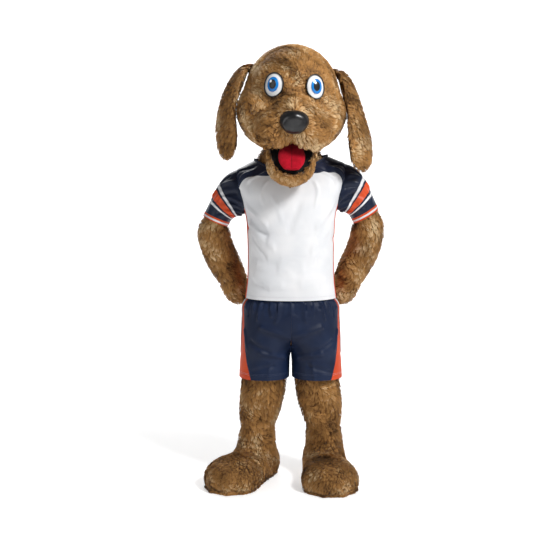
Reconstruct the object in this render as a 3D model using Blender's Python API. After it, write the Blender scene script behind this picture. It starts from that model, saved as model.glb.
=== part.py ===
"""Dog costume for one wearer: padded head, fur suit, sports jersey, shorts and big feet.

Sizes are metres. Pieces are shaped with heights above the floor, and the whole costume then hangs
from the wearer's shoulders, which are the origin. Left is -X and right is +X, as seen from the front,
and the front faces -Y.
"""

import math

import bpy
import numpy as np
from mathutils import Euler, Vector
from mathutils.bvhtree import BVHTree

SHOULDER_HEIGHT = 1.36  # the wearer's shoulders above the floor
SEAM_GAP = 0.0003
JERSEY_WALL = 0.0016
SUIT_WALL = 0.010  # cloth with its pile
BACKING_WALL = 0.004  # the suit where the jersey and sleeves press its pile flat
HEAD_WALL = 0.018  # foam with its fur
SUIT_INSET = 0.013  # how far the suit lies inside the jersey
ARM_INSET = 0.011
SIDES = {"left": -1.0, "right": 1.0}

COLOURS = {
    "fur": (0.24, 0.125, 0.05, 0.95),
    "white_jersey": (0.82, 0.82, 0.84, 0.6),
    "navy_jersey": (0.03, 0.045, 0.11, 0.45),
    "orange_trim": (0.82, 0.12, 0.03, 0.6),
    "navy_shorts": (0.025, 0.045, 0.12, 0.6),
    "ear_cloth": (0.16, 0.075, 0.035, 0.9),
    "black_nose": (0.008, 0.008, 0.009, 0.2),
    "eye_white": (0.85, 0.85, 0.85, 0.25),
    "iris_blue": (0.01, 0.22, 0.65, 0.2),
    "mouth_felt": (0.012, 0.011, 0.011, 0.95),
    "tongue_felt": (0.62, 0.01, 0.03, 0.85),
}


def table(names, *rows):
    """Rows of numbers as one array for each named column."""
    return {name: np.array(column, float) for name, column in zip(names.split(), zip(*rows))}


def smooth(rows, key, at, name):
    """One column at any place between the rows, on a smooth curve; the key column rises."""
    xs = rows[key]
    ys = rows[name]
    slopes = np.gradient(ys, xs)
    at = np.clip(at, xs[0], xs[-1])
    i = np.clip(np.searchsorted(xs, at, side="right") - 1, 0, len(xs) - 2)
    span = xs[i + 1] - xs[i]
    t = (at - xs[i]) / span
    start = (1 + 2 * t) * (1 - t) ** 2 * ys[i] + t * (1 - t) ** 2 * span * slopes[i]
    end = t**2 * (3 - 2 * t) * ys[i + 1] - t**2 * (1 - t) * span * slopes[i + 1]
    return start + end


def unit(vectors):
    return vectors / np.maximum(np.linalg.norm(vectors, axis=-1, keepdims=True), 1e-12)


def ease(t):
    t = np.clip(t, 0, 1)
    return t * t * (3 - 2 * t)


def points(x, y, z):
    return np.stack(np.broadcast_arrays(x, y, z), axis=-1).astype(float)


def between(start, end, count):
    return np.linspace(start, end, count + 1)


# Folds are soft ridges and troughs along short lines on a surface, given by an angle round it and
# a fraction along it. A right angle round counts as much as the whole length.

FOLD = "angle along to_angle to_along width height"

JERSEY_FOLDS = table(
    FOLD,
    (-25, 0.60, -55, 0.44, 0.045, -0.008),
    (-155, 0.60, -122, 0.47, 0.045, -0.008),
    (-30, 0.30, -72, 0.25, 0.040, -0.006),
    (-150, 0.33, -108, 0.26, 0.040, -0.006),
    (-40, 0.17, -80, 0.13, 0.035, 0.005),
    (-142, 0.18, -100, 0.12, 0.035, 0.005),
    (-48, 0.92, -46, 0.80, 0.035, -0.005),
    (-130, 0.92, -134, 0.80, 0.035, -0.005),
    (28, 0.58, 58, 0.40, 0.050, -0.008),
    (152, 0.58, 122, 0.42, 0.050, -0.008),
    (40, 0.24, 88, 0.20, 0.045, -0.007),
    (140, 0.22, 100, 0.16, 0.045, -0.007),
    (50, 0.08, 130, 0.06, 0.040, 0.005),
)

SLEEVE_FOLDS = table(
    FOLD,
    (50, 0.15, 78, 0.60, 0.10, -0.007),
    (80, 0.20, 110, 0.62, 0.09, -0.006),
    (118, 0.30, 140, 0.85, 0.09, 0.005),
    (-60, 0.15, -88, 0.60, 0.10, -0.007),
    (-110, 0.25, -130, 0.75, 0.10, -0.006),
)

ARM_FOLDS = table(
    FOLD,
    (25, 0.20, 140, 0.29, 0.040, -0.010),
    (10, 0.38, 135, 0.47, 0.042, -0.011),
    (20, 0.56, 150, 0.60, 0.042, -0.011),
    (15, 0.73, 140, 0.74, 0.040, -0.010),
    (-25, 0.22, -150, 0.31, 0.042, -0.010),
    (-15, 0.42, -140, 0.49, 0.042, -0.011),
    (-20, 0.60, -150, 0.66, 0.042, -0.010),
)

SHORTS_FOLDS = table(
    FOLD,
    (62, 0.02, 66, 0.16, 0.05, -0.005),
    (84, 0.02, 82, 0.18, 0.05, -0.005),
    (45, 0.02, 47, 0.14, 0.05, -0.005),
    (70, 0.45, 135, 0.60, 0.07, -0.006),
    (60, 0.78, 125, 0.70, 0.07, -0.005),
    (-60, 0.02, -62, 0.16, 0.05, -0.005),
    (-82, 0.02, -80, 0.18, 0.05, -0.005),
    (-70, 0.46, -130, 0.62, 0.07, -0.006),
)

LEG_FOLDS = table(
    FOLD,
    (20, 0.64, 120, 0.68, 0.035, -0.009),
    (70, 0.76, 175, 0.74, 0.035, -0.010),
    (5, 0.84, 110, 0.87, 0.035, -0.012),
    (100, 0.93, 178, 0.90, 0.030, -0.008),
    (-20, 0.66, -130, 0.70, 0.035, -0.009),
    (-30, 0.80, -150, 0.82, 0.035, -0.011),
    (-10, 0.92, -120, 0.93, 0.030, -0.008),
)


def fold_height(folds, angle, along):
    """How far the folds lift a surface at an angle in degrees and a fraction along it."""
    here = np.stack(np.broadcast_arrays(np.asarray(angle, float) / 90, along), axis=-1)
    total = np.zeros(here.shape[:-1])
    for a, b, c, d, width, height in zip(*folds.values()):
        start = np.array((a / 90, b))
        run = np.array((c / 90, d)) - start
        share = np.clip(((here - start) @ run) / (run @ run), 0, 1)
        away = here - start - share[..., None] * run
        total += height * np.exp(-(away**2).sum(-1) / width**2)
    return total


# Solids: a wall between two layers of points, or a lump of rings.


class Wall:
    """A panel waiting to be built: rows and columns of points outside, and where its inside lies."""

    def __init__(
        self, name, colour, outer, centre, wall, inner=None, closed=False, level=(), parent=None
    ):
        self.name = name
        self.colour = colour
        self.outer = outer
        self.centre = centre
        self.wall = wall
        self.inner = inner
        self.closed = closed
        self.level = [row % len(outer) for row in level]
        self.parent = parent
        down = np.gradient(outer, axis=0)
        if closed:
            across = np.roll(outer, -1, axis=1) - np.roll(outer, 1, axis=1)
        else:
            across = np.gradient(outer, axis=1)
        normals = unit(np.cross(down, across))
        self.normals = normals * (1.0 if (normals * (outer - centre)).sum() > 0 else -1.0)

    def rim(self):
        """The rows and columns of the points that lie on a free edge."""
        rows, cols = self.outer.shape[:2]
        for i in range(rows):
            for j in range(cols):
                if i in (0, rows - 1) or (not self.closed and j in (0, cols - 1)):
                    yield i, j


WALLS = []


def add_wall(*values, **options):
    WALLS.append(Wall(*values, **options))


def place_key(point):
    return tuple(np.round(point * 20000).astype(int))


def halfway(normals):
    """The direction halfway between the surfaces that meet, however many panels each one has."""
    surfaces = []
    for normal in normals:
        for surface in surfaces:
            if unit(surface) @ normal > 0.8:
                surface += normal
                break
        else:
            surfaces.append(normal.copy())
    return unit(sum(unit(surface) for surface in surfaces))


def share_seam_normals(walls):
    """Panels that meet at a seam lean their edges the same way there, so the seam stays shut."""
    met = {}
    for wall in walls:
        for i, j in wall.rim():
            met.setdefault(place_key(wall.outer[i, j]), []).append(wall.normals[i, j].copy())
    for wall in walls:
        for i, j in wall.rim():
            shared = halfway(met[place_key(wall.outer[i, j])])
            if i in wall.level:
                shared = shared * (1, 1, 0)
            wall.normals[i, j] = unit(shared)


def edge_step(edge, within, closed):
    """The step that draws an edge into its panel by half a seam gap, square to the edge."""
    if closed:
        run = np.roll(edge, -1, axis=0) - np.roll(edge, 1, axis=0)
    else:
        run = np.gradient(edge, axis=0)
    run = unit(run)
    step = within - edge
    step = step - (step * run).sum(-1, keepdims=True) * run
    return unit(step) * SEAM_GAP / 2


def drawn_in(grid, closed):
    moved = grid.copy()
    moved[0] += edge_step(grid[0], grid[1], closed)
    moved[-1] += edge_step(grid[-1], grid[-2], closed)
    if not closed:
        moved[:, 0] += edge_step(grid[:, 0], grid[:, 1], False)
        moved[:, -1] += edge_step(grid[:, -1], grid[:, -2], False)
    return moved


SPLIT_AIM = np.array((0.53, 0.29, 0.80))  # off every axis, so that no edge lies square to it


def quad_faces(a, b, c, d, verts):
    """Two triangles, split along the shorter diagonal."""
    if np.linalg.norm(verts[a] - verts[c]) <= np.linalg.norm(verts[b] - verts[d]):
        return [(a, b, c), (a, c, d)]
    return [(a, b, d), (b, c, d)]


def rim_faces(a, b, c, d, second, verts):
    """Two triangles across the edge of a wall, split alike by the pieces on both sides of a seam."""
    if verts[a] @ SPLIT_AIM < verts[second] @ SPLIT_AIM:
        return [(a, b, c), (a, c, d)]
    return [(a, b, d), (b, c, d)]


def facing_out(verts, faces):
    """The triangles of a closed solid, turned so that they face outward."""
    a, b, c = (np.asarray(verts)[list(corner)] for corner in zip(*faces))
    if (a * np.cross(b, c)).sum() < 0:
        return [(p, r, q) for p, q, r in faces]
    return faces


def add_object(name, colour, verts, faces, parent=None):
    """One named object from points and triangles, in its own material."""
    faces = facing_out(verts, faces)
    mesh = bpy.data.meshes.new(name)
    mesh.from_pydata([tuple(v) for v in verts], [], faces)
    mesh.update()
    mesh.shade_smooth()
    mesh.set_sharp_from_angle(angle=math.radians(50))
    mesh.materials.append(material(colour))
    obj = bpy.data.objects.new(name, mesh)
    obj.parent = parent or bpy.data.objects["costume"]
    bpy.context.scene.collection.objects.link(obj)
    return obj


def material(name):
    """The plain material of one colour, made once."""
    found = bpy.data.materials.get(name)
    if found:
        return found
    made = bpy.data.materials.new(name)
    made.use_nodes = True
    red, green, blue, roughness = COLOURS[name]
    shader = made.node_tree.nodes["Principled BSDF"]
    shader.inputs["Base Color"].default_value = (red, green, blue, 1)
    shader.inputs["Roughness"].default_value = roughness
    shader.inputs["Metallic"].default_value = 0
    return made


def layered_solid(name, colour, outer, inner, closed, poles=None, parent=None):
    """A closed wall between two grids of points, with an optional pair of poles after the last row."""
    rows, cols = outer.shape[:2]
    verts = np.concatenate([outer.reshape(-1, 3), inner.reshape(-1, 3)])
    under = rows * cols
    spans = cols if closed else cols - 1
    faces = []
    for i in range(rows - 1):
        for j in range(spans):
            k = (j + 1) % cols
            a, b, c, d = i * cols + j, (i + 1) * cols + j, (i + 1) * cols + k, i * cols + k
            for p, q, r in quad_faces(a, b, c, d, verts):
                faces.append((p, q, r))
                faces.append((under + p, under + r, under + q))
    for j in range(spans):
        k = (j + 1) % cols
        last = (rows - 1) * cols
        faces += rim_faces(j, k, under + k, under + j, k, verts)
        if poles is None:
            far, deep = last + k, under + last + k
            faces += rim_faces(last + j, under + last + j, deep, far, far, verts)
    if poles is not None:
        tip = len(verts)
        verts = np.concatenate([verts, np.array(poles)])
        for j in range(spans):
            k = (j + 1) % cols
            last = (rows - 1) * cols
            faces.append((last + j, tip, last + k))
            faces.append((under + last + j, under + last + k, tip + 1))
    if not closed:
        for i in range(rows - 1):
            a, b = i * cols, (i + 1) * cols
            faces += rim_faces(a, under + a, under + b, b, b, verts)
            c, d = a + cols - 1, b + cols - 1
            faces += rim_faces(c, d, under + d, under + c, d, verts)
    return add_object(name, colour, verts, faces, parent)


def build_wall(wall):
    inner = wall.inner
    if inner is None:
        inner = wall.outer - wall.wall * wall.normals
    outer = drawn_in(wall.outer, wall.closed)
    inner = drawn_in(inner, wall.closed)
    layered_solid(wall.name, wall.colour, outer, inner, wall.closed, parent=wall.parent)


def lump(name, colour, rings, start, end, parent=None):
    """A closed solid from rings of points, with a pole at each end."""
    rows, cols = rings.shape[:2]
    verts = np.concatenate([rings.reshape(-1, 3), [start, end]])
    faces = []
    for i in range(rows - 1):
        for j in range(cols):
            k = (j + 1) % cols
            a, b, c, d = i * cols + j, (i + 1) * cols + j, (i + 1) * cols + k, i * cols + k
            faces += quad_faces(a, b, c, d, verts)
    first, last = rows * cols, rows * cols + 1
    for j in range(cols):
        k = (j + 1) % cols
        faces.append((j, k, first))
        faces.append(((rows - 1) * cols + k, (rows - 1) * cols + j, last))
    return add_object(name, colour, verts, faces, parent)


# The trunk: rings from the hem of the jersey up over the shoulders to the neckline.

TRUNK = table(
    "along half_width front back side_height front_height back_height roundness",
    (0.00, 0.196, 0.152, 0.134, 0.780, 0.778, 0.782, 2.3),
    (0.15, 0.187, 0.157, 0.136, 0.860, 0.860, 0.860, 2.3),
    (0.32, 0.185, 0.155, 0.132, 0.960, 0.955, 0.960, 2.3),
    (0.48, 0.187, 0.148, 0.130, 1.060, 1.050, 1.060, 2.3),
    (0.60, 0.193, 0.141, 0.131, 1.135, 1.120, 1.135, 2.4),
    (0.70, 0.211, 0.134, 0.130, 1.200, 1.175, 1.200, 2.5),
    (0.80, 0.236, 0.127, 0.126, 1.285, 1.225, 1.250, 2.6),
    (0.88, 0.231, 0.116, 0.118, 1.335, 1.262, 1.295, 2.4),
    (0.95, 0.195, 0.104, 0.104, 1.355, 1.290, 1.335, 2.1),
    (1.00, 0.158, 0.092, 0.094, 1.372, 1.312, 1.366, 2.0),
)

LEAN = 0.055  # the shoulders rise this much for each metre towards +X
LEAN_FROM, LEAN_TO = 0.95, 1.25

# The armhole, from the middle of the underarm round the front to the top of the shoulder.
ARMHOLE = table(
    "angle along",
    (0, 0.620),
    (-7, 0.625),
    (-14, 0.655),
    (-19.5, 0.695),
    (-22, 0.740),
    (-22.5, 0.790),
    (-19, 0.835),
    (-11, 0.870),
    (0, 0.885),
)
SIDE_ANGLE = 7.0  # half the width of the side strip, round the trunk
UNDERARM_STEP = 1  # where on the armhole the side strip ends
CORNER_STEP = 4  # where on the armhole the shoulder panel starts

# The seam between the front and the shoulder panel, from the armhole to the neckline.
YOKE_SEAM = table(
    "angle along",
    (-22, 0.740),
    (-33, 0.820),
    (-43, 0.880),
    (-52, 0.915),
    (-61, 0.940),
    (-69, 0.965),
    (-76, 1.000),
)


def leaned(xyz):
    """The trunk and arms with one shoulder a little higher than the other."""
    share = ease((xyz[..., 2] - LEAN_FROM) / (LEAN_TO - LEAN_FROM))
    out = xyz.copy()
    out[..., 2] += LEAN * xyz[..., 0] * share
    return out


def trunk_base(angle, along):
    turn = np.radians(angle)
    c = np.cos(turn)
    s = np.sin(turn)
    column = {name: smooth(TRUNK, "along", along, name) for name in TRUNK if name != "along"}
    power = 2 / column["roundness"]
    depth = np.where(s < 0, column["front"], column["back"])
    height = np.where(s < 0, column["front_height"], column["back_height"])
    x = column["half_width"] * np.sign(c) * np.abs(c) ** power
    y = depth * np.sign(s) * np.abs(s) ** power
    return points(x, y, column["side_height"] * c**2 + height * s**2)


def trunk_normal(angle, along):
    step = 0.5
    rise = 0.004
    round_it = trunk_base(angle + step, along) - trunk_base(angle - step, along)
    up = trunk_base(angle, np.minimum(along + rise, 1)) - trunk_base(angle, np.maximum(along - rise, 0))
    return unit(np.cross(round_it, up))


def trunk(angle, along, inset=0.0):
    """A point of the jersey's trunk, or of what lies that far inside it."""
    angle, along = np.broadcast_arrays(np.asarray(angle, float), np.asarray(along, float))
    signed = (angle + 180) % 360 - 180
    lift = fold_height(JERSEY_FOLDS, signed, along) - inset
    return leaned(trunk_base(angle, along) + lift[..., None] * trunk_normal(angle, along))


AXIS_DROP = 0.08  # how far below a point its place inside the trunk is taken


def trunk_axis(grid):
    """Points inside the trunk, level with a grid but lower, so that shoulders face up."""
    inside = np.zeros_like(grid)
    inside[..., 2] = grid[..., 2] - AXIS_DROP
    return inside


def filled(bottom, top, left, right):
    """A grid between four edges, each a list of angle and along that share their corners."""
    rows, cols = len(left), len(bottom)
    v = np.linspace(0, 1, rows)[:, None, None]
    u = np.linspace(0, 1, cols)[None, :, None]
    ruled = (1 - v) * bottom[None] + v * top[None] + (1 - u) * left[:, None] + u * right[:, None]
    corners = (1 - u) * (1 - v) * bottom[0] + u * (1 - v) * bottom[-1]
    corners = corners + (1 - u) * v * top[0] + u * v * top[-1]
    return ruled - corners


def pairs(rows, mirror=False):
    """The angle and along of a table; mirrored to the back of the same side on request."""
    out = np.stack([rows["angle"], rows["along"]], axis=-1)
    if mirror:
        out = out * (-1, 1)
    return out


def opposite(edge):
    """The same edge on the other side of the trunk, with angles still counted round the front."""
    return np.stack([-180 - edge[:, 0], edge[:, 1]], axis=-1)


def line(start, end, count):
    return np.stack([between(start[0], end[0], count), between(start[1], end[1], count)], axis=-1)


SEAM_STEPS = 6  # rows of the trunk panels from the hem to the underarm


def front_side_edge(back=False):
    """The edge of the front or back panel: up the side seam, then round the armhole."""
    turn = -1 if back else 1
    seam = line((-SIDE_ANGLE * turn, 0), (-SIDE_ANGLE * turn, ARMHOLE["along"][1]), SEAM_STEPS)
    hole = pairs(ARMHOLE, back)[UNDERARM_STEP + 1 : CORNER_STEP + 1]
    return np.concatenate([seam, hole])


def trunk_panel(name, back):
    """The white front or back of the jersey."""
    turn = -1 if back else 1
    right = front_side_edge(back)
    seam = pairs(YOKE_SEAM, back)
    if back:
        left = np.stack([180 - right[:, 0], right[:, 1]], axis=-1)
        far = np.stack([180 - seam[:, 0], seam[:, 1]], axis=-1)
    else:
        left = opposite(right)
        far = opposite(seam)
    middle = np.array([[-90.0 * turn, 1.0]])
    top = np.concatenate([far, middle, seam[::-1]])
    bottom = line(left[0], right[0], len(top) - 1)
    grid = filled(bottom, top, left, right)
    outer = trunk(grid[..., 0], grid[..., 1])
    add_wall(name, "white_jersey", outer, trunk_axis(outer), JERSEY_WALL)


def mirrored(grid, sign):
    """The trunk of one side from the grid of the +X side."""
    if sign > 0:
        return trunk(grid[..., 0], grid[..., 1])
    return trunk(-180 - grid[..., 0], grid[..., 1])


def make_jersey_trunk():
    trunk_panel("jersey_front", False)
    trunk_panel("jersey_back", True)
    underarm = pairs(ARMHOLE)[: UNDERARM_STEP + 1]
    top = np.concatenate([underarm[::-1], pairs(ARMHOLE, True)[1 : UNDERARM_STEP + 1]])
    left = line((-SIDE_ANGLE, 0), tuple(top[0]), SEAM_STEPS)
    right = line((SIDE_ANGLE, 0), tuple(top[-1]), SEAM_STEPS)
    strip = filled(line(left[0], right[0], 2), top, left, right)
    hole = pairs(ARMHOLE)[CORNER_STEP:]
    outside = np.concatenate([hole, (hole * (-1, 1))[::-1][1:]])
    seam = pairs(YOKE_SEAM)
    neck = line(seam[-1], seam[-1] * (-1, 1), len(outside) - 1)
    yoke = filled(outside, neck, seam, seam * (-1, 1))
    for side, sign in SIDES.items():
        outer = mirrored(strip, sign)
        add_wall(f"jersey_side_{side}", "orange_trim", outer, trunk_axis(outer), JERSEY_WALL)
        outer = mirrored(yoke, sign)
        add_wall(f"yoke_{side}", "navy_jersey", outer, trunk_axis(outer), JERSEY_WALL)


COLLAR_HEIGHT = 0.010
COLLAR_DRAW = 0.985  # how much the rib draws in at its free edge


def make_collar():
    """The rib band round the neckline, on the same points as the panels' top edges."""
    edge = YOKE_SEAM["angle"][-1]
    steps = 2 * (len(ARMHOLE["angle"]) - 1 - CORNER_STEP)
    right = between(edge, -edge, steps)
    left = between(180 + edge, 180 - edge, steps)
    round_it = np.concatenate([right, [90], left, [270]])
    low = trunk(round_it, np.ones_like(round_it))
    high = low * (COLLAR_DRAW, COLLAR_DRAW, 1) + (0, 0, COLLAR_HEIGHT)
    outer = np.stack([low, high])
    centre = np.zeros_like(outer)
    centre[..., 2] = outer[..., 2]
    add_wall("collar", "navy_jersey", outer, centre, JERSEY_WALL, closed=True)


# Sleeves and the arms in them.

CUFF_CENTRE = np.array((0.3245, 0.030, 1.117))
CUFF_AXIS = unit(np.array((0.46, 0.07, -0.885)))
CUFF_HALF_WIDTH = 0.060
CUFF_HALF_DEPTH = 0.070
CUFF_HEIGHT = 0.022
CUFF_DRAW = 0.985
RING_STEPS = 2 * (len(ARMHOLE["angle"]) - 1)
SLEEVE_ROWS = 6
SLEEVE_BEND = 0.36
SHOULDER_MIDDLE = np.array((0.215, 0.0, 1.24))
UNDERARM_HEADING = np.array((0.90, 0.0, -0.42))
SHOULDER_HEADING = np.array((0.98, 0.0, -0.22))


def armhole_loop():
    """The angles and alongs of the whole armhole, from the underarm round the front and back."""
    front = pairs(ARMHOLE)
    return np.concatenate([front, (front * (-1, 1))[::-1][1:-1]])


def ring_frame(axis):
    back = unit(np.array((0.0, 1.0, 0.0)) - axis[1] * axis)
    return unit(np.cross(axis, back)), back


FOLDS_GROW = 0.4  # share of a sleeve over which its folds grow
FOLDS_FADE = 0.15  # share of it over which they fade before the cuff


def sleeve(turn, t, inset=0.0):
    """A point of the +X sleeve: turn goes round from the underarm by the front, t down to the cuff."""
    turn, t = np.broadcast_arrays(np.asarray(turn, float) % 360, np.asarray(t, float))
    loop = armhole_loop()
    place = np.append(loop, loop[:1], axis=0)
    step = turn / 360 * RING_STEPS
    angle = np.interp(step, np.arange(RING_STEPS + 1), place[:, 0])
    along = np.interp(step, np.arange(RING_STEPS + 1), place[:, 1])
    start = trunk_base(angle, along)
    beta = np.radians(turn)[..., None]
    out, back = ring_frame(CUFF_AXIS)
    ring = -np.cos(beta) * CUFF_HALF_WIDTH * out - np.sin(beta) * CUFF_HALF_DEPTH * back
    end = CUFF_CENTRE - CUFF_HEIGHT * CUFF_AXIS + ring
    top = (1 - np.cos(beta)) / 2
    heading = unit((1 - top) * UNDERARM_HEADING + top * SHOULDER_HEADING)
    reach = np.linalg.norm(end - start, axis=-1, keepdims=True) * SLEEVE_BEND
    first = start + heading * reach
    second = end - CUFF_AXIS * reach
    t = t[..., None]
    spot = (1 - t) ** 3 * start + 3 * t * (1 - t) ** 2 * first
    spot = spot + 3 * t**2 * (1 - t) * second + t**3 * end
    middle = (1 - t) * SHOULDER_MIDDLE + t * (CUFF_CENTRE - CUFF_HEIGHT * CUFF_AXIS)
    window = ease(t / FOLDS_GROW) * ease((1 - t) / FOLDS_FADE)
    signed = np.where(turn > 180, turn - 360, turn)
    lift = fold_height(SLEEVE_FOLDS, signed, t[..., 0])[..., None] * window - inset
    return spot + lift * unit(spot - middle)


def on_side(grid, sign):
    """A +X piece moved to its side and leaned with the shoulders."""
    return leaned(grid * (sign, 1, 1))


def ring_turns():
    return np.arange(RING_STEPS) * 360 / RING_STEPS


def make_sleeves():
    rows = between(0, 1, SLEEVE_ROWS)
    out, back = ring_frame(CUFF_AXIS)
    for side, sign in SIDES.items():
        loop = armhole_loop()
        outer = on_side(sleeve(ring_turns()[None], rows[:, None]), sign)
        outer[0] = mirrored(loop, sign)
        centre = outer.mean(axis=1, keepdims=True)
        add_wall(f"sleeve_{side}", "navy_jersey", outer, centre, JERSEY_WALL, closed=True)
        beta = np.radians(ring_turns())[:, None]
        ring = -np.cos(beta) * CUFF_HALF_WIDTH * out - np.sin(beta) * CUFF_HALF_DEPTH * back
        low = on_side(CUFF_CENTRE + ring * CUFF_DRAW, sign)
        outer = np.stack([outer[-1], low])
        centre = outer.mean(axis=1, keepdims=True)
        add_wall(f"cuff_{side}", "orange_trim", outer, centre, JERSEY_WALL, closed=True)


# The fur arm below the cuff, then the paw behind the hip.
ARM_PATH = table(
    "x y z radius",
    (0.3263, 0.031, 1.1135, 0.0490),
    (0.3320, 0.040, 1.0950, 0.0600),
    (0.3345, 0.047, 1.0740, 0.0660),
    (0.3320, 0.056, 1.0450, 0.0680),
    (0.3245, 0.068, 1.005, 0.0685),
    (0.3110, 0.080, 0.965, 0.0680),
    (0.2920, 0.088, 0.925, 0.0670),
    (0.2720, 0.092, 0.888, 0.0640),
    (0.2560, 0.094, 0.855, 0.0590),
)
PAW_PATH = table(
    "x y z radius",
    (0.2560, 0.094, 0.855, 0.0590),
    (0.2480, 0.097, 0.828, 0.0570),
    (0.2390, 0.102, 0.802, 0.0560),
    (0.2260, 0.110, 0.784, 0.0520),
    (0.2110, 0.119, 0.774, 0.0420),
    (0.2010, 0.125, 0.770, 0.0260),
)
PAW_TIP = 0.8
ARM_IN_SLEEVE = (0.0, 0.3, 0.65, 1.0)


def path_rings(path, turns, heading=None):
    """Rings of points square to a path, from the underarm side round by the front."""
    line_points = np.stack([path["x"], path["y"], path["z"]], axis=-1)
    tangents = unit(np.gradient(line_points, axis=0))
    if heading is not None:
        tangents[0] = heading
    rings = []
    for spot, tangent, radius in zip(line_points, tangents, path["radius"]):
        out, back = ring_frame(tangent)
        beta = np.radians(turns)[:, None]
        rings.append(spot - radius * (np.cos(beta) * out + np.sin(beta) * back))
    return np.stack(rings)


def arm_grid(sign):
    """The rings of one arm, from the armhole of the suit to the wrist."""
    turns = ring_turns()
    loop = armhole_loop()
    inside = sleeve(turns[None], np.array(ARM_IN_SLEEVE)[:, None], ARM_INSET)
    below = path_rings(ARM_PATH, turns, CUFF_AXIS)
    rings = np.concatenate([inside, below])
    signed = np.where(turns > 180, turns - 360, turns)[None]
    row = np.arange(len(rings))[:, None] - len(inside)
    lift = fold_height(ARM_FOLDS, signed, (row + 1) / len(below)) * (row >= 0)
    middle = rings.mean(axis=1, keepdims=True)
    rings = rings + lift[..., None] * unit(rings - middle)
    rings[-1] = below[-1]
    rings = on_side(rings, sign)
    place = loop if sign > 0 else np.stack([-180 - loop[:, 0], loop[:, 1]], axis=-1)
    rings[0] = trunk(place[:, 0], place[:, 1], SUIT_INSET)
    return rings


def make_arms():
    half = RING_STEPS // 2
    for side, sign in SIDES.items():
        rings = arm_grid(sign)
        centre = rings.mean(axis=1, keepdims=True)
        wrapped = np.concatenate([rings, rings[:, :1]], axis=1)
        front, back = wrapped[:, : half + 1], wrapped[:, half:]
        wall = np.full((len(rings), 1, 1), SUIT_WALL)
        wall[: len(ARM_IN_SLEEVE) - 1] = BACKING_WALL
        add_wall(f"arm_front_{side}", "fur", front, centre, wall)
        add_wall(f"arm_back_{side}", "fur", back, centre, wall)
        make_paw(side, sign, rings[-1])


def make_paw(side, sign, wrist):
    """A hollow mitten, open at the wrist."""
    rings = on_side(path_rings(PAW_PATH, ring_turns()), sign)
    rings[0] = wrist
    middle = rings.mean(axis=1, keepdims=True)
    inner = rings + (middle - rings) * (SUIT_WALL / PAW_PATH["radius"])[:, None, None]
    inner[-1] = (inner[-1] + inner[-2]) / 2
    tip = middle[-1, 0] + (middle[-1, 0] - middle[-2, 0]) * PAW_TIP
    inner_tip = inner[-1].mean(axis=0)
    outer = rings.copy()
    outer[0] += edge_step(rings[0], rings[1], True)
    inner[0] += edge_step(inner[0], inner[1], True)
    layered_solid(f"paw_{side}", "fur", outer, inner, True, (tip, inner_tip))


SUIT_BOTTOM = 0.100  # where the trunk of the suit meets its legs, above the waistband
SUIT_BOTTOM_HEIGHT = 0.832
SUIT_SIDE_STEPS = 4
SUIT_NECK_STEPS = 6
SUIT_SHOULDER_STEPS = 1


def make_suit_trunk():
    """The front and back of the fur suit under the jersey, from the waist to the neckline."""
    for name, back in (("suit_front", False), ("suit_back", True)):
        turn = -1 if back else 1
        hole = pairs(ARMHOLE, back)
        seam = line((0, SUIT_BOTTOM), tuple(hole[0]), SUIT_SIDE_STEPS)
        right = np.concatenate([seam, hole[1:]])
        far = -180 * turn
        left = np.stack([far - right[:, 0], right[:, 1]], axis=-1)
        shoulder = line(tuple(right[-1]), (0, 1), SUIT_SHOULDER_STEPS)
        neck = line((0, 1), (far, 1), SUIT_NECK_STEPS)[1:]
        other = np.stack([far - shoulder[:, 0], shoulder[:, 1]], axis=-1)[::-1][1:]
        top = np.concatenate([shoulder, neck, other])[::-1]
        bottom = line(left[0], right[0], len(top) - 1)
        grid = filled(bottom, top, left, right)
        outer = trunk(grid[..., 0], grid[..., 1], SUIT_INSET)
        outer[0, :, 2] = SUIT_BOTTOM_HEIGHT
        add_wall(name, "fur", outer, trunk_axis(outer), BACKING_WALL, level=(0,))


# Shorts and the legs of the suit: each leg is a ring that the middle plane cuts above the crotch.

SHORTS = table(
    "drop centre half_width front back height",
    (0.000, 0.000, 0.180, 0.140, 0.121, 0.785),
    (0.055, 0.000, 0.198, 0.150, 0.133, 0.766),
    (0.245, 0.006, 0.204, 0.155, 0.148, 0.700),
    (0.360, 0.0277, 0.1843, 0.153, 0.151, 0.660),
    (0.450, 0.0552, 0.1578, 0.149, 0.149, 0.629),
    (0.520, 0.0786, 0.1354, 0.144, 0.146, 0.604),
    (0.580, 0.0938, 0.1202, 0.139, 0.142, 0.583),
    (0.625, 0.1016, 0.1129, 0.135, 0.138, 0.568),
    (0.665, 0.1059, 0.1091, 0.132, 0.134, 0.554),
    (0.705, 0.1077, 0.1077, 0.130, 0.131, 0.540),
    (0.770, 0.1105, 0.1075, 0.127, 0.126, 0.518),
    (0.880, 0.1125, 0.1080, 0.125, 0.121, 0.480),
    (1.000, 0.1140, 0.1090, 0.126, 0.119, 0.438),
)
SHORTS_DROPS = (0, 0.12, 0.245, 0.36, 0.45, 0.52, 0.58, 0.625, 0.665, 0.705, 0.80, 0.90, 1.0)

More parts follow.
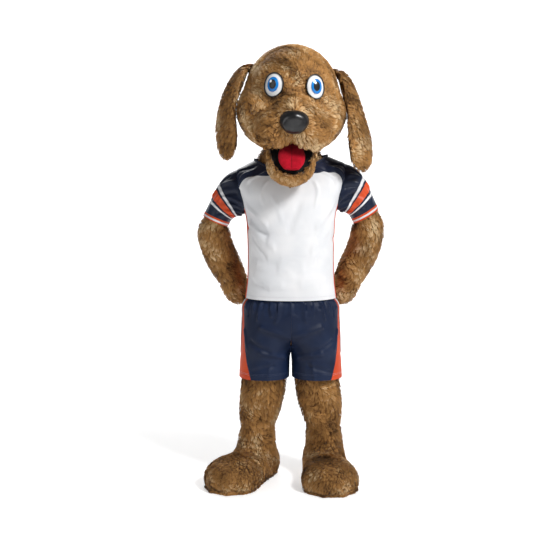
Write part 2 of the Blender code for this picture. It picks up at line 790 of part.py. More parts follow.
TROUSERS = table(
    "drop centre half_width front back height",
    (0.00, 0.0000, 0.1760, 0.1430, 0.1225, 0.8315),
    (0.03, 0.0000, 0.1743, 0.1350, 0.1160, 0.812),
    (0.075, 0.0000, 0.1743, 0.1350, 0.1160, 0.782),
    (0.105, 0.0000, 0.1820, 0.137, 0.120, 0.762),
    (0.19, 0.0058, 0.1912, 0.141, 0.134, 0.700),
    (0.24, 0.0257, 0.1713, 0.139, 0.137, 0.668),
    (0.28, 0.0515, 0.1470, 0.136, 0.136, 0.640),
    (0.315, 0.0732, 0.1262, 0.132, 0.133, 0.618),
    (0.345, 0.0876, 0.1122, 0.127, 0.129, 0.600),
    (0.37, 0.0950, 0.1055, 0.123, 0.125, 0.586),
    (0.39, 0.0992, 0.1022, 0.119, 0.121, 0.574),
    (0.41, 0.1010, 0.1008, 0.116, 0.118, 0.562),
    (0.46, 0.1080, 0.0950, 0.110, 0.108, 0.530),
    (0.54, 0.1110, 0.0940, 0.106, 0.102, 0.480),
    (0.62, 0.1130, 0.0935, 0.103, 0.098, 0.430),
    (0.69, 0.1190, 0.0955, 0.102, 0.098, 0.385),
    (0.75, 0.1240, 0.0930, 0.098, 0.095, 0.340),
    (0.81, 0.1330, 0.0870, 0.092, 0.090, 0.295),
    (0.86, 0.1380, 0.0830, 0.088, 0.086, 0.260),
    (0.90, 0.1415, 0.0720, 0.077, 0.076, 0.230),
    (0.93, 0.1430, 0.0690, 0.074, 0.073, 0.207),
    (0.96, 0.1450, 0.0765, 0.083, 0.080, 0.186),
    (0.985, 0.1460, 0.0760, 0.083, 0.081, 0.168),
    (1.00, 0.1460, 0.0750, 0.080, 0.080, 0.1585),
)
LEG_DROPS = (0, 0.03, 0.075, 0.12, 0.19, 0.28, 0.345, 0.41, 0.53, 0.64, 0.72, 0.79, 0.85, 0.90, 0.93, 0.965, 1.0)

LEG_ROUNDNESS = 2.25
LEG_STEPS = 6
SHORTS_STEPS = 5
STRIP_STEPS = 4

# How far round from the side each shorts piece reaches, by the drop from the waist.
STRIP = table(
    "drop orange white",
    (0.00, 15, 9),
    (0.25, 20, 12),
    (0.50, 29, 11),
    (0.75, 44, 8),
    (1.00, 62, 5),
)


WAIST_PLAIN = 0.05  # share of a leg below the waist where its folds grow
INNER_LEG_ANGLE = 150
INNER_LEG_SPAN = 25


def leg_point(rows, angle, drop, folds, inset=0.0):
    """A point of a +X leg: 0 degrees is the side, 90 the front and 180 the inside."""
    angle, drop = np.broadcast_arrays(np.asarray(angle, float), np.asarray(drop, float))
    column = {name: smooth(rows, "drop", drop, name) for name in rows if name != "drop"}
    turn = np.radians(angle)
    c = np.cos(turn)
    s = np.sin(turn)
    power = 2 / LEG_ROUNDNESS
    lift = fold_height(folds, angle, drop) * ease(drop / WAIST_PLAIN)
    inward = ease((np.abs(angle) - INNER_LEG_ANGLE) / INNER_LEG_SPAN)
    lift = lift * (1 - inward) - inset
    half = column["half_width"] + lift
    depth = np.where(s > 0, column["front"], column["back"]) + lift
    x = column["centre"] + half * np.sign(c) * np.abs(c) ** power
    y = -depth * np.sign(s) * np.abs(s) ** power
    return points(np.maximum(x, 0), y, column["height"])


def middle_angle(rows, drop):
    """Where a leg's ring meets the middle plane, in degrees from the side."""
    centre = smooth(rows, "drop", drop, "centre")
    half = smooth(rows, "drop", drop, "half_width")
    share = np.clip(centre / half, 0, 1) ** (LEG_ROUNDNESS / 2)
    return np.degrees(np.arccos(-share))


def leg_axis(grid):
    inside = np.zeros_like(grid)
    inside[..., 0] = np.sign(grid[..., :1].mean()) * 0.09
    inside[..., 2] = grid[..., 2]
    return inside


def spread(start, end, steps, drops):
    """Angles across a panel, row by row, from one edge to the other."""
    share = np.linspace(0, 1, steps + 1)[None]
    start = np.broadcast_to(start, drops.shape)[:, None]
    end = np.broadcast_to(end, drops.shape)[:, None]
    return start + (end - start) * share


def leg_wall(name, colour, rows, angles, drops, folds, sign, wall, level=()):
    outer = leg_point(rows, angles, drops[:, None], folds) * (sign, 1, 1)
    add_wall(name, colour, outer, leg_axis(outer), wall, level=level)


def make_shorts():
    drops = np.array(SHORTS_DROPS)
    edge = middle_angle(SHORTS, drops)
    orange = smooth(STRIP, "drop", drops, "orange")
    front = spread(orange, edge, SHORTS_STEPS, drops)
    strip = spread(orange, -orange, STRIP_STEPS, drops)
    for side, sign in SIDES.items():
        for name, angles in (("front", front), ("back", -front)):
            full = f"shorts_{name}_{side}"
            leg_wall(full, "navy_shorts", SHORTS, angles, drops, SHORTS_FOLDS, sign, JERSEY_WALL)
        name = f"shorts_side_{side}"
        leg_wall(name, "orange_trim", SHORTS, strip, drops, SHORTS_FOLDS, sign, JERSEY_WALL)
        make_gusset(side, sign)
    make_waistband(front[0], strip[0])


GUSSET_START = 0.03
GUSSET_ROWS = 10  # it ends on this row of the shorts
GUSSET_UNDER = 0.0012  # how far off the side panel its under side lies
GUSSET_WALL = 0.0016


def make_gusset(side, sign):
    """The white tapering strip that is sewn over the side panel."""
    drops = np.array((GUSSET_START,) + SHORTS_DROPS[1:GUSSET_ROWS])
    white = smooth(STRIP, "drop", drops, "white")
    angles = spread(white, -white, 2, drops)
    layers = []
    for out in (GUSSET_UNDER, GUSSET_UNDER + GUSSET_WALL):
        layers.append(leg_point(SHORTS, angles, drops[:, None], SHORTS_FOLDS, -out) * (sign, 1, 1))
    lower, upper = layers
    add_wall(f"gusset_{side}", "white_jersey", upper, leg_axis(upper), 0, inner=lower)


WAISTBAND_TOP = 0.812
WAISTBAND_WALL = 0.003
WAISTBAND_DRAW = 0.99


def make_waistband(front, strip):
    """The elastic casing on the shorts' top edges, hidden by the jersey."""
    side = np.concatenate([front[::-1], strip[1:], -front[1:]])
    right = leg_point(SHORTS, side, 0.0, SHORTS_FOLDS)
    left = (right * (-1, 1, 1))[::-1]
    low = np.concatenate([right, left[1:-1]])
    high = low * (WAISTBAND_DRAW, WAISTBAND_DRAW, 1)
    high[:, 2] = WAISTBAND_TOP
    outer = np.stack([low, high])
    centre = np.zeros_like(outer)
    centre[..., 2] = outer[..., 2]
    add_wall("waistband", "navy_shorts", outer, centre, WAISTBAND_WALL, closed=True)


def make_legs():
    drops = np.array(LEG_DROPS)
    edge = middle_angle(TROUSERS, drops)
    front = spread(0, edge, LEG_STEPS, drops)
    for side, sign in SIDES.items():
        for name, angles in (("front", front), ("back", -front)):
            full = f"leg_{name}_{side}"
            leg_wall(full, "fur", TROUSERS, angles, drops, LEG_FOLDS, sign, SUIT_WALL, (0, -1))


# Bodies blended from ellipsoids, for the feet and the head.


def blob_distance(xyz, blobs, blend):
    """Roughly how far a point lies outside ellipsoids that melt into each other."""
    total = None
    for x, y, z, a, b, c in zip(*blobs.values()):
        offset = xyz - (x, y, z)
        size = np.array((a, b, c))
        near = np.linalg.norm(offset / size, axis=-1)
        steep = np.maximum(np.linalg.norm(offset / size**2, axis=-1), 1e-9)
        away = near * (near - 1) / steep
        if total is None:
            total = away
        else:
            share = np.clip(0.5 + 0.5 * (away - total) / blend, 0, 1)
            total = away * (1 - share) + total * share - blend * share * (1 - share)
    return total


def blob_reach(start, aim, blobs, blend, longest=0.6, steps=60):
    """How far from a start inside, along each aim, the blended surface is last crossed."""
    outside = np.full(aim.shape[:-1], longest)
    inside = np.zeros(aim.shape[:-1])
    open_ray = np.ones(aim.shape[:-1], bool)
    for k in range(1, steps):
        here = longest * (1 - k / steps)
        away = blob_distance(start + aim * here, blobs, blend)
        hit = open_ray & (away < 0)
        inside[hit] = here
        open_ray &= ~hit
        outside[open_ray] = here
    for _ in range(18):
        middle = (inside + outside) / 2
        away = blob_distance(start + aim * middle[..., None], blobs, blend)
        inside = np.where(away < 0, middle, inside)
        outside = np.where(away < 0, outside, middle)
    return (inside + outside) / 2


# Feet: across, forward and up from below the ankle.

FOOT = table(
    "across forward up half_across half_forward half_up",
    (0.000, -0.020, 0.050, 0.088, 0.105, 0.085),
    (0.000, 0.005, 0.095, 0.085, 0.095, 0.075),
    (0.000, 0.110, 0.045, 0.098, 0.150, 0.080),
    (0.000, 0.215, 0.042, 0.122, 0.118, 0.088),
)
FOOT_BLEND = 0.035
FOOT_CENTRE = np.array((0.0, 0.02, 0.055))
FOOT_HEADING = {"left": 29.0, "right": 4.0}  # degrees turned outward
ANKLE = (0.146, 0.0)
SOLE_THICKNESS = 0.012
FOOT_OPENING = (0.0750, 0.0800, 0.1580)  # half across, half forward, height
FOOT_OPENING_INSIDE = 0.87  # its inside beside its outside
TOE_GROOVES = (-15.0, 0.0, 15.0)
TOE_GROOVE_DEPTH = 0.019
TOE_GROOVE_WIDTH = 5.0
TOE_GROOVE_REACH = 24.0
TOE_REACH = 45.0  # how far round from straight ahead the toe cap goes
TOE_TOP, TOE_CORNER = 28.0, 6.0  # how high its seam lies ahead and at its ends, in degrees
TOE_STEPS = 12
TOE_ROWS = 4
FOOT_BACK_STEPS = 10


def foot_aim(azimuth, rise):
    a = np.radians(azimuth)
    e = np.radians(rise)
    return points(np.sin(a) * np.cos(e), np.cos(a) * np.cos(e), np.sin(e))


def foot_surface(azimuth, rise):
    """A point of the foot, in its own directions, with the grooves between its toes."""
    aim = foot_aim(azimuth, rise)
    reach = blob_reach(FOOT_CENTRE, aim, FOOT, FOOT_BLEND, 0.45)
    groove = sum(np.exp(-(((azimuth - place) / TOE_GROOVE_WIDTH) ** 2)) for place in TOE_GROOVES)
    fade = np.clip(1 - np.abs(rise) / TOE_GROOVE_REACH, 0, 1) ** 0.5
    return FOOT_CENTRE + aim * (reach - TOE_GROOVE_DEPTH * groove * fade)[..., None]


def sole_rise(azimuth):
    """The angle at which the foot meets its sole."""
    low = np.full(np.shape(azimuth), -60.0)
    high = np.full(np.shape(azimuth), 5.0)
    for _ in range(30):
        middle = (low + high) / 2
        above = foot_surface(azimuth, middle)[..., 2] > SOLE_THICKNESS + SEAM_GAP
        high = np.where(above, middle, high)
        low = np.where(above, low, middle)
    return (low + high) / 2


def foot_placed(xyz, side):
    """From the foot's own directions to where it stands."""
    sign = SIDES[side]
    turn = math.radians(FOOT_HEADING[side])
    across, forward = xyz[..., 0], xyz[..., 1]
    x = across * math.cos(turn) + forward * math.sin(turn)
    y = across * math.sin(turn) - forward * math.cos(turn)
    return points(sign * (x + ANKLE[0]), y + ANKLE[1], xyz[..., 2])


def foot_lined(outer):
    """The inside of a foot's wall, drawn towards its centre."""
    return outer - unit(outer - FOOT_CENTRE) * SUIT_WALL


def make_feet():
    back = between(TOE_REACH, 360 - TOE_REACH, FOOT_BACK_STEPS)
    toes = between(-TOE_REACH, TOE_REACH, TOE_STEPS)
    back_edge = np.stack([back, sole_rise(np.where(back > 180, back - 360, back))], axis=-1)
    toe_edge = np.stack([toes, sole_rise(toes)], axis=-1)
    arch = 1 - (toes / TOE_REACH) ** 2
    toe_top = np.stack([toes, TOE_CORNER + (TOE_TOP - TOE_CORNER) * arch], axis=-1)
    left = line(toe_edge[0], toe_top[0], TOE_ROWS)
    right = line(toe_edge[-1], toe_top[-1], TOE_ROWS)
    cap = filled(toe_edge, toe_top, left, right)
    over = np.concatenate([left[1:-1], toe_top, right[::-1][1:-1]])
    low = np.concatenate([back_edge, over + (360, 0)])
    half_across, half_forward, height = FOOT_OPENING
    turns = np.radians(np.linspace(low[0, 0], low[0, 0] + 360, len(low) + 1)[:-1])
    ring = points(half_across * np.sin(turns), half_forward * np.cos(turns), height)
    aim = unit(ring - FOOT_CENTRE)
    end_azimuth = np.degrees(np.unwrap(np.arctan2(aim[:, 0], aim[:, 1])))
    end_rise = np.degrees(np.arcsin(aim[:, 2]))
    share = between(0, 1, 4)[:, None]
    azimuth = low[:, 0] * (1 - share) + end_azimuth * share
    rise = low[:, 1] * (1 - share) + end_rise * share
    wrapped = np.where(azimuth > 180, azimuth - 360, azimuth)
    upper = foot_surface(wrapped, rise)
    upper[-1] = ring
    toe_cap = foot_surface(cap[..., 0], cap[..., 1])
    inner_upper = foot_lined(upper)
    inner_upper[-1] = ring * (FOOT_OPENING_INSIDE, FOOT_OPENING_INSIDE, 1)
    for side in SIDES:
        middle = foot_placed(FOOT_CENTRE[None, None], side)
        outer, inner = foot_placed(upper, side), foot_placed(inner_upper, side)
        add_wall(f"foot_upper_{side}", "fur", outer, middle, SUIT_WALL, inner=inner, closed=True)
        outer, inner = foot_placed(toe_cap, side), foot_placed(foot_lined(toe_cap), side)
        add_wall(f"toe_cap_{side}", "fur", outer, middle, SUIT_WALL, inner=inner)
        make_sole(side, np.concatenate([upper[0, : len(back)], toe_cap[0, 1:-1]]))


SOLE_RIM = 1.02


def make_sole(side, edge):
    """The flat sole under one foot, a little wider than the foot."""
    middle = FOOT_CENTRE * (1, 1, 0)
    ring = middle + (edge - middle) * (SOLE_RIM, SOLE_RIM, 0)
    low = foot_placed(ring, side)
    high = foot_placed(ring + (0, 0, SOLE_THICKNESS), side)
    bottom = foot_placed(middle[None], side)[0]
    top = foot_placed((middle + (0, 0, SOLE_THICKNESS))[None], side)[0]
    lump(f"sole_{side}", "fur", np.stack([low, high]), bottom, top)


# The head: an angle of 0 degrees looks forward and 90 up, and lat is how far round to the side.

HEAD_CENTRE = np.array((0.0, -0.03, 1.57))
HEAD_ROLL = 2.5
HEAD_YAW = 2.0
HEAD = table(
    "x y z half_x half_y half_z",
    (0.000, 0.020, 0.080, 0.193, 0.212, 0.198),
    (0.000, 0.070, 0.000, 0.190, 0.175, 0.170),
    (0.088, -0.030, -0.020, 0.146, 0.170, 0.138),
    (-0.088, -0.030, -0.020, 0.146, 0.170, 0.138),
    (0.000, -0.095, 0.100, 0.150, 0.125, 0.120),
    (0.000, -0.175, -0.025, 0.092, 0.135, 0.080),
    (0.068, -0.185, -0.098, 0.086, 0.120, 0.082),
    (-0.068, -0.185, -0.098, 0.086, 0.120, 0.082),
    (0.000, -0.165, -0.232, 0.104, 0.100, 0.090),
    (0.000, -0.060, -0.110, 0.120, 0.110, 0.085),
)
HEAD_BLEND = 0.028


def head_aim(angle, lat):
    a = np.radians(angle)
    b = np.radians(lat)
    return points(np.sin(b), -np.cos(b) * np.cos(a), np.cos(b) * np.sin(a))


def head_surface(aim, inset=0.0):
    """A point of the head, from its centre, along an aim."""
    reach = blob_reach(np.zeros(3), aim, HEAD, HEAD_BLEND)
    return aim * (reach - inset)[..., None]


def head_wall(name, colour, grid):
    """A foam panel of the head between its seams."""
    aim = head_aim(grid[..., 0], grid[..., 1])
    outer = head_surface(aim)
    inner = outer - aim * HEAD_WALL
    parent = bpy.data.objects["head"]
    add_wall(name, colour, outer, np.zeros(3), HEAD_WALL, inner=inner, parent=parent)


def seam(*rows, steps):
    """A smooth seam on the head through rows of angle and lat, in even steps."""
    rows = np.array(rows, float)
    run = np.append(0, np.cumsum(np.linalg.norm(np.diff(rows, axis=0), axis=-1)))
    places = np.linspace(0, run[-1], steps + 1)
    return np.stack([np.interp(places, run, rows[:, k]) for k in (0, 1)], axis=-1)


CROWN_STEPS = 6
LIP = seam((-31, 0), (-34, 6), (-36.5, 13), (-40, 20), steps=6)
LOWER_LIP = seam((-50, 0), (-48.5, 9), (-45, 16), (-40, 20), steps=5)
BRIDGE_SEAM = seam((4, 0), (3, 10), (-3, 22), (-9, 34), (-13, 45), steps=6)
CROWN_SEAM = seam((70, 0), (67, 20), (60, 50), steps=CROWN_STEPS)
CHEEK_EDGE = seam((-40, 20), (-34, 29), (-25, 38), (-13, 45), steps=5)
FACE_EDGE = seam((-13, 45), (10, 49), (35, 51), (60, 50), steps=6)
CROWN_EDGE = seam((60, 50), (110, 50), (160, 49), (195, 44), (226, 28), steps=8)
NECK_SIDE = seam((226, 28), (256, 30), (287, 26), steps=4)
NECK_BACK = seam((222, 0), (223, 14), (226, 28), steps=CROWN_STEPS)
THROAT = seam((276, 0), (279, 14), (287, 26), steps=5)
JAW_EDGE = seam((287, 26), (303, 26), (320, 20), steps=4)


def flipped(edge):
    return edge * (1, -1)


def whole(edge):
    """An edge across both halves of the head, from -X to +X."""
    return np.concatenate([flipped(edge)[::-1], edge[1:]])


def make_head_shell():
    face = filled(whole(BRIDGE_SEAM), whole(CROWN_SEAM), flipped(FACE_EDGE), FACE_EDGE)
    head_wall("head_face", "fur", face)
    lip = whole(LOWER_LIP) + (360, 0)
    head_wall("jaw", "fur", filled(whole(THROAT), lip, flipped(JAW_EDGE), JAW_EDGE))
    middle = seam((-31, 0), (4, 0), steps=5)
    muzzle = filled(LIP, BRIDGE_SEAM, middle, CHEEK_EDGE)
    back = seam((70, 0), (222, 0), steps=8)
    crown = filled(CROWN_SEAM, NECK_BACK, back, CROWN_EDGE)
    for side, sign in SIDES.items():
        head_wall(f"muzzle_{side}", "fur", muzzle * (1, sign))
        head_wall(f"head_crown_{side}", "fur", crown * (1, sign))
        make_head_side(side, sign)


SIDE_ROWS = 3


def make_head_side(side, sign):
    """The side of the head under the ear: rings from its seams to a pole."""
    loop = [CHEEK_EDGE[:-1], FACE_EDGE[:-1], CROWN_EDGE[:-1], NECK_SIDE[:-1], JAW_EDGE[:-1]]
    edge = np.concatenate(loop)
    share = (np.arange(SIDE_ROWS) / SIDE_ROWS)[:, None]
    rim = head_aim(edge[:, 0], edge[:, 1] * sign)
    pole = np.array((sign, 0.0, 0.0))
    aim = unit(rim[None] * (1 - share[..., None]) + pole * share[..., None])
    outer = head_surface(aim)
    inner = outer - aim * HEAD_WALL
    tip = head_surface(pole[None])[0]
    tips = (tip, tip - pole * HEAD_WALL)
    outer[0] += edge_step(outer[0], outer[1], True)
    inner[0] += edge_step(inner[0], inner[1], True)
    parent = bpy.data.objects["head"]
    layered_solid(f"head_side_{side}", "fur", outer, inner, True, tips, parent)


HEAD_PANELS = ("head_face", "muzzle_left", "muzzle_right", "jaw")


def panel_reach(aim, under):
    """How far along each aim the built panels reach, from the head's centre."""
    trees = []
    for name in under:
        mesh = bpy.data.objects[name].data
        corners = [v.co for v in mesh.vertices]
        trees.append(BVHTree.FromPolygons(corners, [p.vertices for p in mesh.polygons]))
    far = 0.6
    rays = aim.reshape(-1, 3)
    reach = []
    for ray, smooth_reach in zip(rays, blob_reach(np.zeros(3), rays, HEAD, HEAD_BLEND)):
        away = Vector(ray)
        hits = [tree.ray_cast(away * far, -away)[3] for tree in trees]
        hits = [far - hit for hit in hits if hit is not None]
        reach.append(max(hits, default=smooth_reach))
    return np.array(reach).reshape(aim.shape[:-1])


DOME_EDGE = 0.08  # how high a dome stands at its outline, as a share of its height


def dome(name, colour, centre, radii, height, lift, rows, cols, outline, under=HEAD_PANELS):
    """A domed piece on the head's surface, with an outline round its middle."""
    aim = unit(np.asarray(centre, float))
    side = unit(np.cross((0, 0, 1.0), aim))
    up = np.cross(aim, side)
    turns = np.arange(cols) * 2 * np.pi / cols
    shares = 1 - np.arange(rows) / rows
    wide, tall = outline(turns)
    across = radii[0] * wide
    rise = radii[1] * tall
    distance = panel_reach(aim[None], under)[0]
    flat = shares[:, None, None] * (across[:, None] * side + rise[:, None] * up)
    rays = unit(aim * distance + flat)
    base = rays * (panel_reach(rays, under) + lift)[..., None]
    full = (1 - DOME_EDGE) * (1 - shares**2) ** 0.5 + DOME_EDGE
    outer = base + rays * (height * full)[:, None, None]
    tips = (aim * (distance + lift + height), aim * (distance + lift))
    parent = bpy.data.objects["head"]
    return layered_solid(name, colour, outer, base, True, tips, parent)


def oval(turns):
    return np.cos(turns), np.sin(turns)


def nose_outline(turns):
    """Wide above and narrow below, with round corners."""
    tall = np.sin(turns)
    return np.cos(turns) * (0.86 + 0.2 * tall), np.where(tall > 0, tall * 0.85, tall)


EYE_AIM = head_aim(20.5, 21.5)
EYE_SIZE = (0.042, 0.046)
IRIS_SIZE = (0.0260, 0.0295)
EYE_HEIGHT = 0.012
EYE_LIFT = 0.0024
IRIS_HEIGHT = 0.0022
ON_TOP = 0.0030
ON_EYE = 0.0013


def make_face_pieces():
    nose_aim = head_aim(-13.5, 0.0)
    dome("nose", "black_nose", nose_aim, (0.066, 0.052), 0.036, ON_TOP, 4, 16, nose_outline)
    for side, sign in SIDES.items():
        aim = EYE_AIM * (sign, 1, 1)
        dome(f"eye_{side}", "eye_white", aim, EYE_SIZE, EYE_HEIGHT, EYE_LIFT, 3, 14, oval)
        eye = (f"eye_{side}",)
        dome(f"iris_{side}", "iris_blue", aim, IRIS_SIZE, IRIS_HEIGHT, ON_EYE, 2, 12, oval, eye)


MOUTH_ROWS = 3
MOUTH_MIDDLE = np.array((-42.0, 0.0))
MOUTH_SPREAD = 1.10  # how much wider the lining is than the open mouth
MOUTH_BEHIND = 0.0055  # how far its rim lies behind the foam
MOUTH_DEPTH = 0.165  # from the head's centre to the back of the mouth
MOUTH_ROUNDNESS = 0.45
LINING_WALL = 0.003


def make_mouth():
    """The felt pocket behind the open mouth, and the tongue lying in it."""
    upper = whole(LIP)
    lower = whole(LOWER_LIP)[::-1][1:-1]
    loop = np.concatenate([upper, lower])
    wide = MOUTH_MIDDLE + (loop - MOUTH_MIDDLE) * MOUTH_SPREAD
    rim = head_aim(wide[:, 0], wide[:, 1])
    pole = head_aim(*MOUTH_MIDDLE)
    share = (np.arange(MOUTH_ROWS) / MOUTH_ROWS)[:, None, None]
    aim = unit(rim * (1 - share) + pole * share)
    reach = np.linalg.norm(head_surface(rim), axis=-1) - HEAD_WALL - MOUTH_BEHIND
    share = share[..., 0] ** MOUTH_ROUNDNESS
    deep = reach * (1 - share) + MOUTH_DEPTH * share
    front = aim * deep[..., None]
    behind = aim * (deep - LINING_WALL)[..., None]
    tips = (pole * MOUTH_DEPTH, pole * (MOUTH_DEPTH - LINING_WALL))
    parent = bpy.data.objects["head"]
    layered_solid("mouth_lining", "mouth_felt", front, behind, True, tips, parent)
    make_tongue(parent)


TONGUE = table(
    "y z half_width half_thick",
    (-0.141, -0.128, 0.018, 0.006),
    (-0.160, -0.139, 0.028, 0.008),
    (-0.180, -0.153, 0.038, 0.010),
    (-0.196, -0.172, 0.048, 0.013),
    (-0.211, -0.193, 0.054, 0.014),
    (-0.225, -0.215, 0.054, 0.014),
    (-0.237, -0.236, 0.046, 0.012),
    (-0.246, -0.253, 0.030, 0.009),
)
TONGUE_GROOVE = 0.006
TONGUE_GROOVE_WIDTH = 0.012
TONGUE_STEPS = 12
TONGUE_SEAT = 0.0006


def make_tongue(parent):
    turns = np.arange(TONGUE_STEPS) * 2 * np.pi / TONGUE_STEPS
    path = np.stack([TONGUE["y"], TONGUE["z"]], axis=-1)
    heading = unit(np.gradient(path, axis=0))
    rings = []
    for (y, z), (dy, dz), half, thick in zip(path, heading, TONGUE["half_width"], TONGUE["half_thick"]):
        across = half * np.cos(turns)
        groove = TONGUE_GROOVE * np.exp(-((across / TONGUE_GROOVE_WIDTH) ** 2)) * (np.sin(turns) > 0.1)
        rise = thick * np.sin(turns) - groove
        rings.append(points(across, y - rise * -dz, z + rise * -dy))
    rings = np.stack(rings)
    start = head_aim(*MOUTH_MIDDLE) * (MOUTH_DEPTH + TONGUE_SEAT)
    end = rings[-1].mean(axis=0)
    lump("tongue", "tongue_felt", rings, start, end, parent)


EAR_COLUMNS = "x y z half_broad half_thick turn"
EARS = {
    "right": table(
        EAR_COLUMNS,
        (0.172, 0.008, 1.741, 0.040, 0.013, 4),
        (0.202, 0.000, 1.731, 0.052, 0.018, 6),
        (0.220, -0.014, 1.702, 0.062, 0.028, 9),
        (0.233, -0.034, 1.658, 0.068, 0.035, 14),
        (0.250, -0.054, 1.612, 0.073, 0.034, 20),
        (0.262, -0.074, 1.558, 0.079, 0.034, 26),
        (0.279, -0.090, 1.505, 0.083, 0.030, 32),
        (0.287, -0.102, 1.450, 0.085, 0.032, 36),
        (0.292, -0.110, 1.400, 0.080, 0.031, 38),
        (0.294, -0.114, 1.362, 0.064, 0.027, 40),
        (0.295, -0.116, 1.338, 0.040, 0.018, 40),
    ),
    "left": table(
        EAR_COLUMNS,
        (0.172, 0.012, 1.744, 0.040, 0.013, 4),
        (0.201, 0.006, 1.736, 0.052, 0.018, 6),
        (0.218, -0.004, 1.706, 0.062, 0.028, 9),
        (0.234, -0.018, 1.662, 0.068, 0.035, 12),
        (0.254, -0.032, 1.614, 0.073, 0.034, 16),
        (0.262, -0.046, 1.562, 0.078, 0.034, 20),
        (0.270, -0.060, 1.512, 0.080, 0.030, 24),
        (0.264, -0.071, 1.462, 0.080, 0.030, 27),
        (0.259, -0.080, 1.418, 0.072, 0.028, 30),
        (0.257, -0.086, 1.386, 0.056, 0.024, 30),
        (0.256, -0.090, 1.364, 0.034, 0.016, 30),
    ),
}
EAR_STEPS = 12
EAR_CLEARANCE = 0.0050
EAR_LAYERS = 0.0008  # between an ear and its lining
EAR_FLATTENED = 0.55  # how thick the side towards the head is beside the outer side
EAR_TIP = 0.012
EAR_ROOT_ROWS = 2  # rings that lie on the head
EAR_ROOT_GAP = 0.0008


def clear_of_head(xyz, margin):
    """Points pushed out of the head until they lie a margin off its surface."""
    out = xyz.copy()
    for _ in range(12):
        away = blob_distance(out, HEAD, HEAD_BLEND)
        step = 1e-4
        slope = [
            blob_distance(out + step * axis, HEAD, HEAD_BLEND) - away for axis in np.eye(3)
        ]
        slope = unit(np.stack(slope, axis=-1))
        out = out + slope * np.maximum(margin - away, 0)[..., None]
    return out


def on_panels(ring, side):
    """A ring pushed out along rays from the head's centre until it lies on the built panels."""
    under = (f"head_crown_{side}", f"head_side_{side}", "head_face")
    aim = unit(ring)
    reach = panel_reach(aim, under) + EAR_ROOT_GAP
    return aim * np.maximum(np.linalg.norm(ring, axis=-1), reach)[..., None]


def ear_ring(row, sign, turns):
    """One section of an ear: flatter on the side that faces the head."""
    x, y, z, broad, thick, turn, tangent = row
    face = math.radians(turn)
    wide = np.array((math.sin(face), math.cos(face), 0.0))
    wide = unit(wide - (wide @ tangent) * tangent)
    out = unit(np.cross(wide, tangent))
    if out[0] + out[2] < 0:
        out = -out
    c = np.cos(turns)
    s = np.sin(turns)
    s = np.where(s < 0, s * EAR_FLATTENED, s)
    xyz = np.array((x, y, z)) + broad * c[:, None] * wide + thick * s[:, None] * out
    return xyz * (sign, 1, 1) - HEAD_CENTRE


def make_ears():
    """The ears on the built head, each with a cloth lining on the side that faces it."""
    parent = bpy.data.objects["head"]
    half = EAR_STEPS // 2
    turns = np.arange(EAR_STEPS) * 2 * np.pi / EAR_STEPS
    for side, sign in SIDES.items():
        rows = EARS[side]
        path = np.stack([rows["x"], rows["y"], rows["z"]], axis=-1)
        tangents = unit(np.gradient(path, axis=0))
        cells = list(zip(*rows.values(), tangents))
        rings = np.stack([ear_ring(cell, sign, turns) for cell in cells])
        hanging = clear_of_head(rings[EAR_ROOT_ROWS:], LINING_WALL + EAR_CLEARANCE + EAR_LAYERS)
        rings = np.concatenate([on_panels(rings[:EAR_ROOT_ROWS], side), hanging])
        start = rings[0].mean(axis=0)
        end = rings[-1].mean(axis=0) - (0, 0, EAR_TIP)
        lump(f"ear_{side}", "fur", rings, start, end, parent)
        lined = rings[EAR_ROOT_ROWS + 1 : -1]
        inner = lined[:, half + 1 :]
        middle = lined.mean(axis=1, keepdims=True)
        away = unit(inner[:, inner.shape[1] // 2][:, None] - middle)
        low = inner + away * EAR_LAYERS
        high = low + away * LINING_WALL
        layered_solid(f"ear_lining_{side}", "ear_cloth", high, low, False, parent=parent)


NECK_CLEARANCE = 0.0036
NECK_FLARE = 0.2  # low: the neck spreads out at once below the head
NECK_IN_SUIT = 0.0026  # between the neck and the edge of the suit it is sewn into


def make_neck():
    """The fur neck from inside the head down into the suit's neckline."""
    loop = [
        whole(THROAT)[:-1],
        NECK_SIDE[::-1][:-1],
        whole(NECK_BACK)[::-1][:-1],
        flipped(NECK_SIDE)[:-1],
    ]
    edge = np.concatenate(loop)
    aim = head_aim(edge[:, 0], edge[:, 1])
    rim = head_surface(aim)
    pose = np.array(bpy.data.objects["head"].rotation_euler.to_matrix())
    middle = rim.mean(axis=0)
    inward = unit((middle - rim) * (1, 1, 0.0))
    outer_edge = rim + inward * NECK_CLEARANCE
    inner_edge = rim - aim * HEAD_WALL + inward * NECK_CLEARANCE
    top = inner_edge @ pose.T + HEAD_CENTRE
    hole = outer_edge @ pose.T + HEAD_CENTRE
    turns = np.arctan2(hole[:, 1], hole[:, 0])
    suit_edge = trunk(np.degrees(turns), 1.0, SUIT_INSET)
    run = np.roll(suit_edge, -1, axis=0) - np.roll(suit_edge, 1, axis=0)
    aside = unit(np.cross(run, (0, 0, 1)))
    aside = aside * np.sign((aside * suit_edge).sum())
    low = suit_edge - aside * (BACKING_WALL + NECK_IN_SUIT)
    rows = [top, hole]
    for share in (0.35, 1.0):
        spread_out = share**NECK_FLARE
        rows.append(hole + (low - hole) * (spread_out, spread_out, share))
    outer = np.stack(rows)
    centre = outer.mean(axis=1, keepdims=True)
    add_wall("neck", "fur", outer, centre, SUIT_WALL, closed=True)


def add_empty(name, place):
    empty = bpy.data.objects.new(name, None)
    empty.location = place
    bpy.context.scene.collection.objects.link(empty)
    return empty


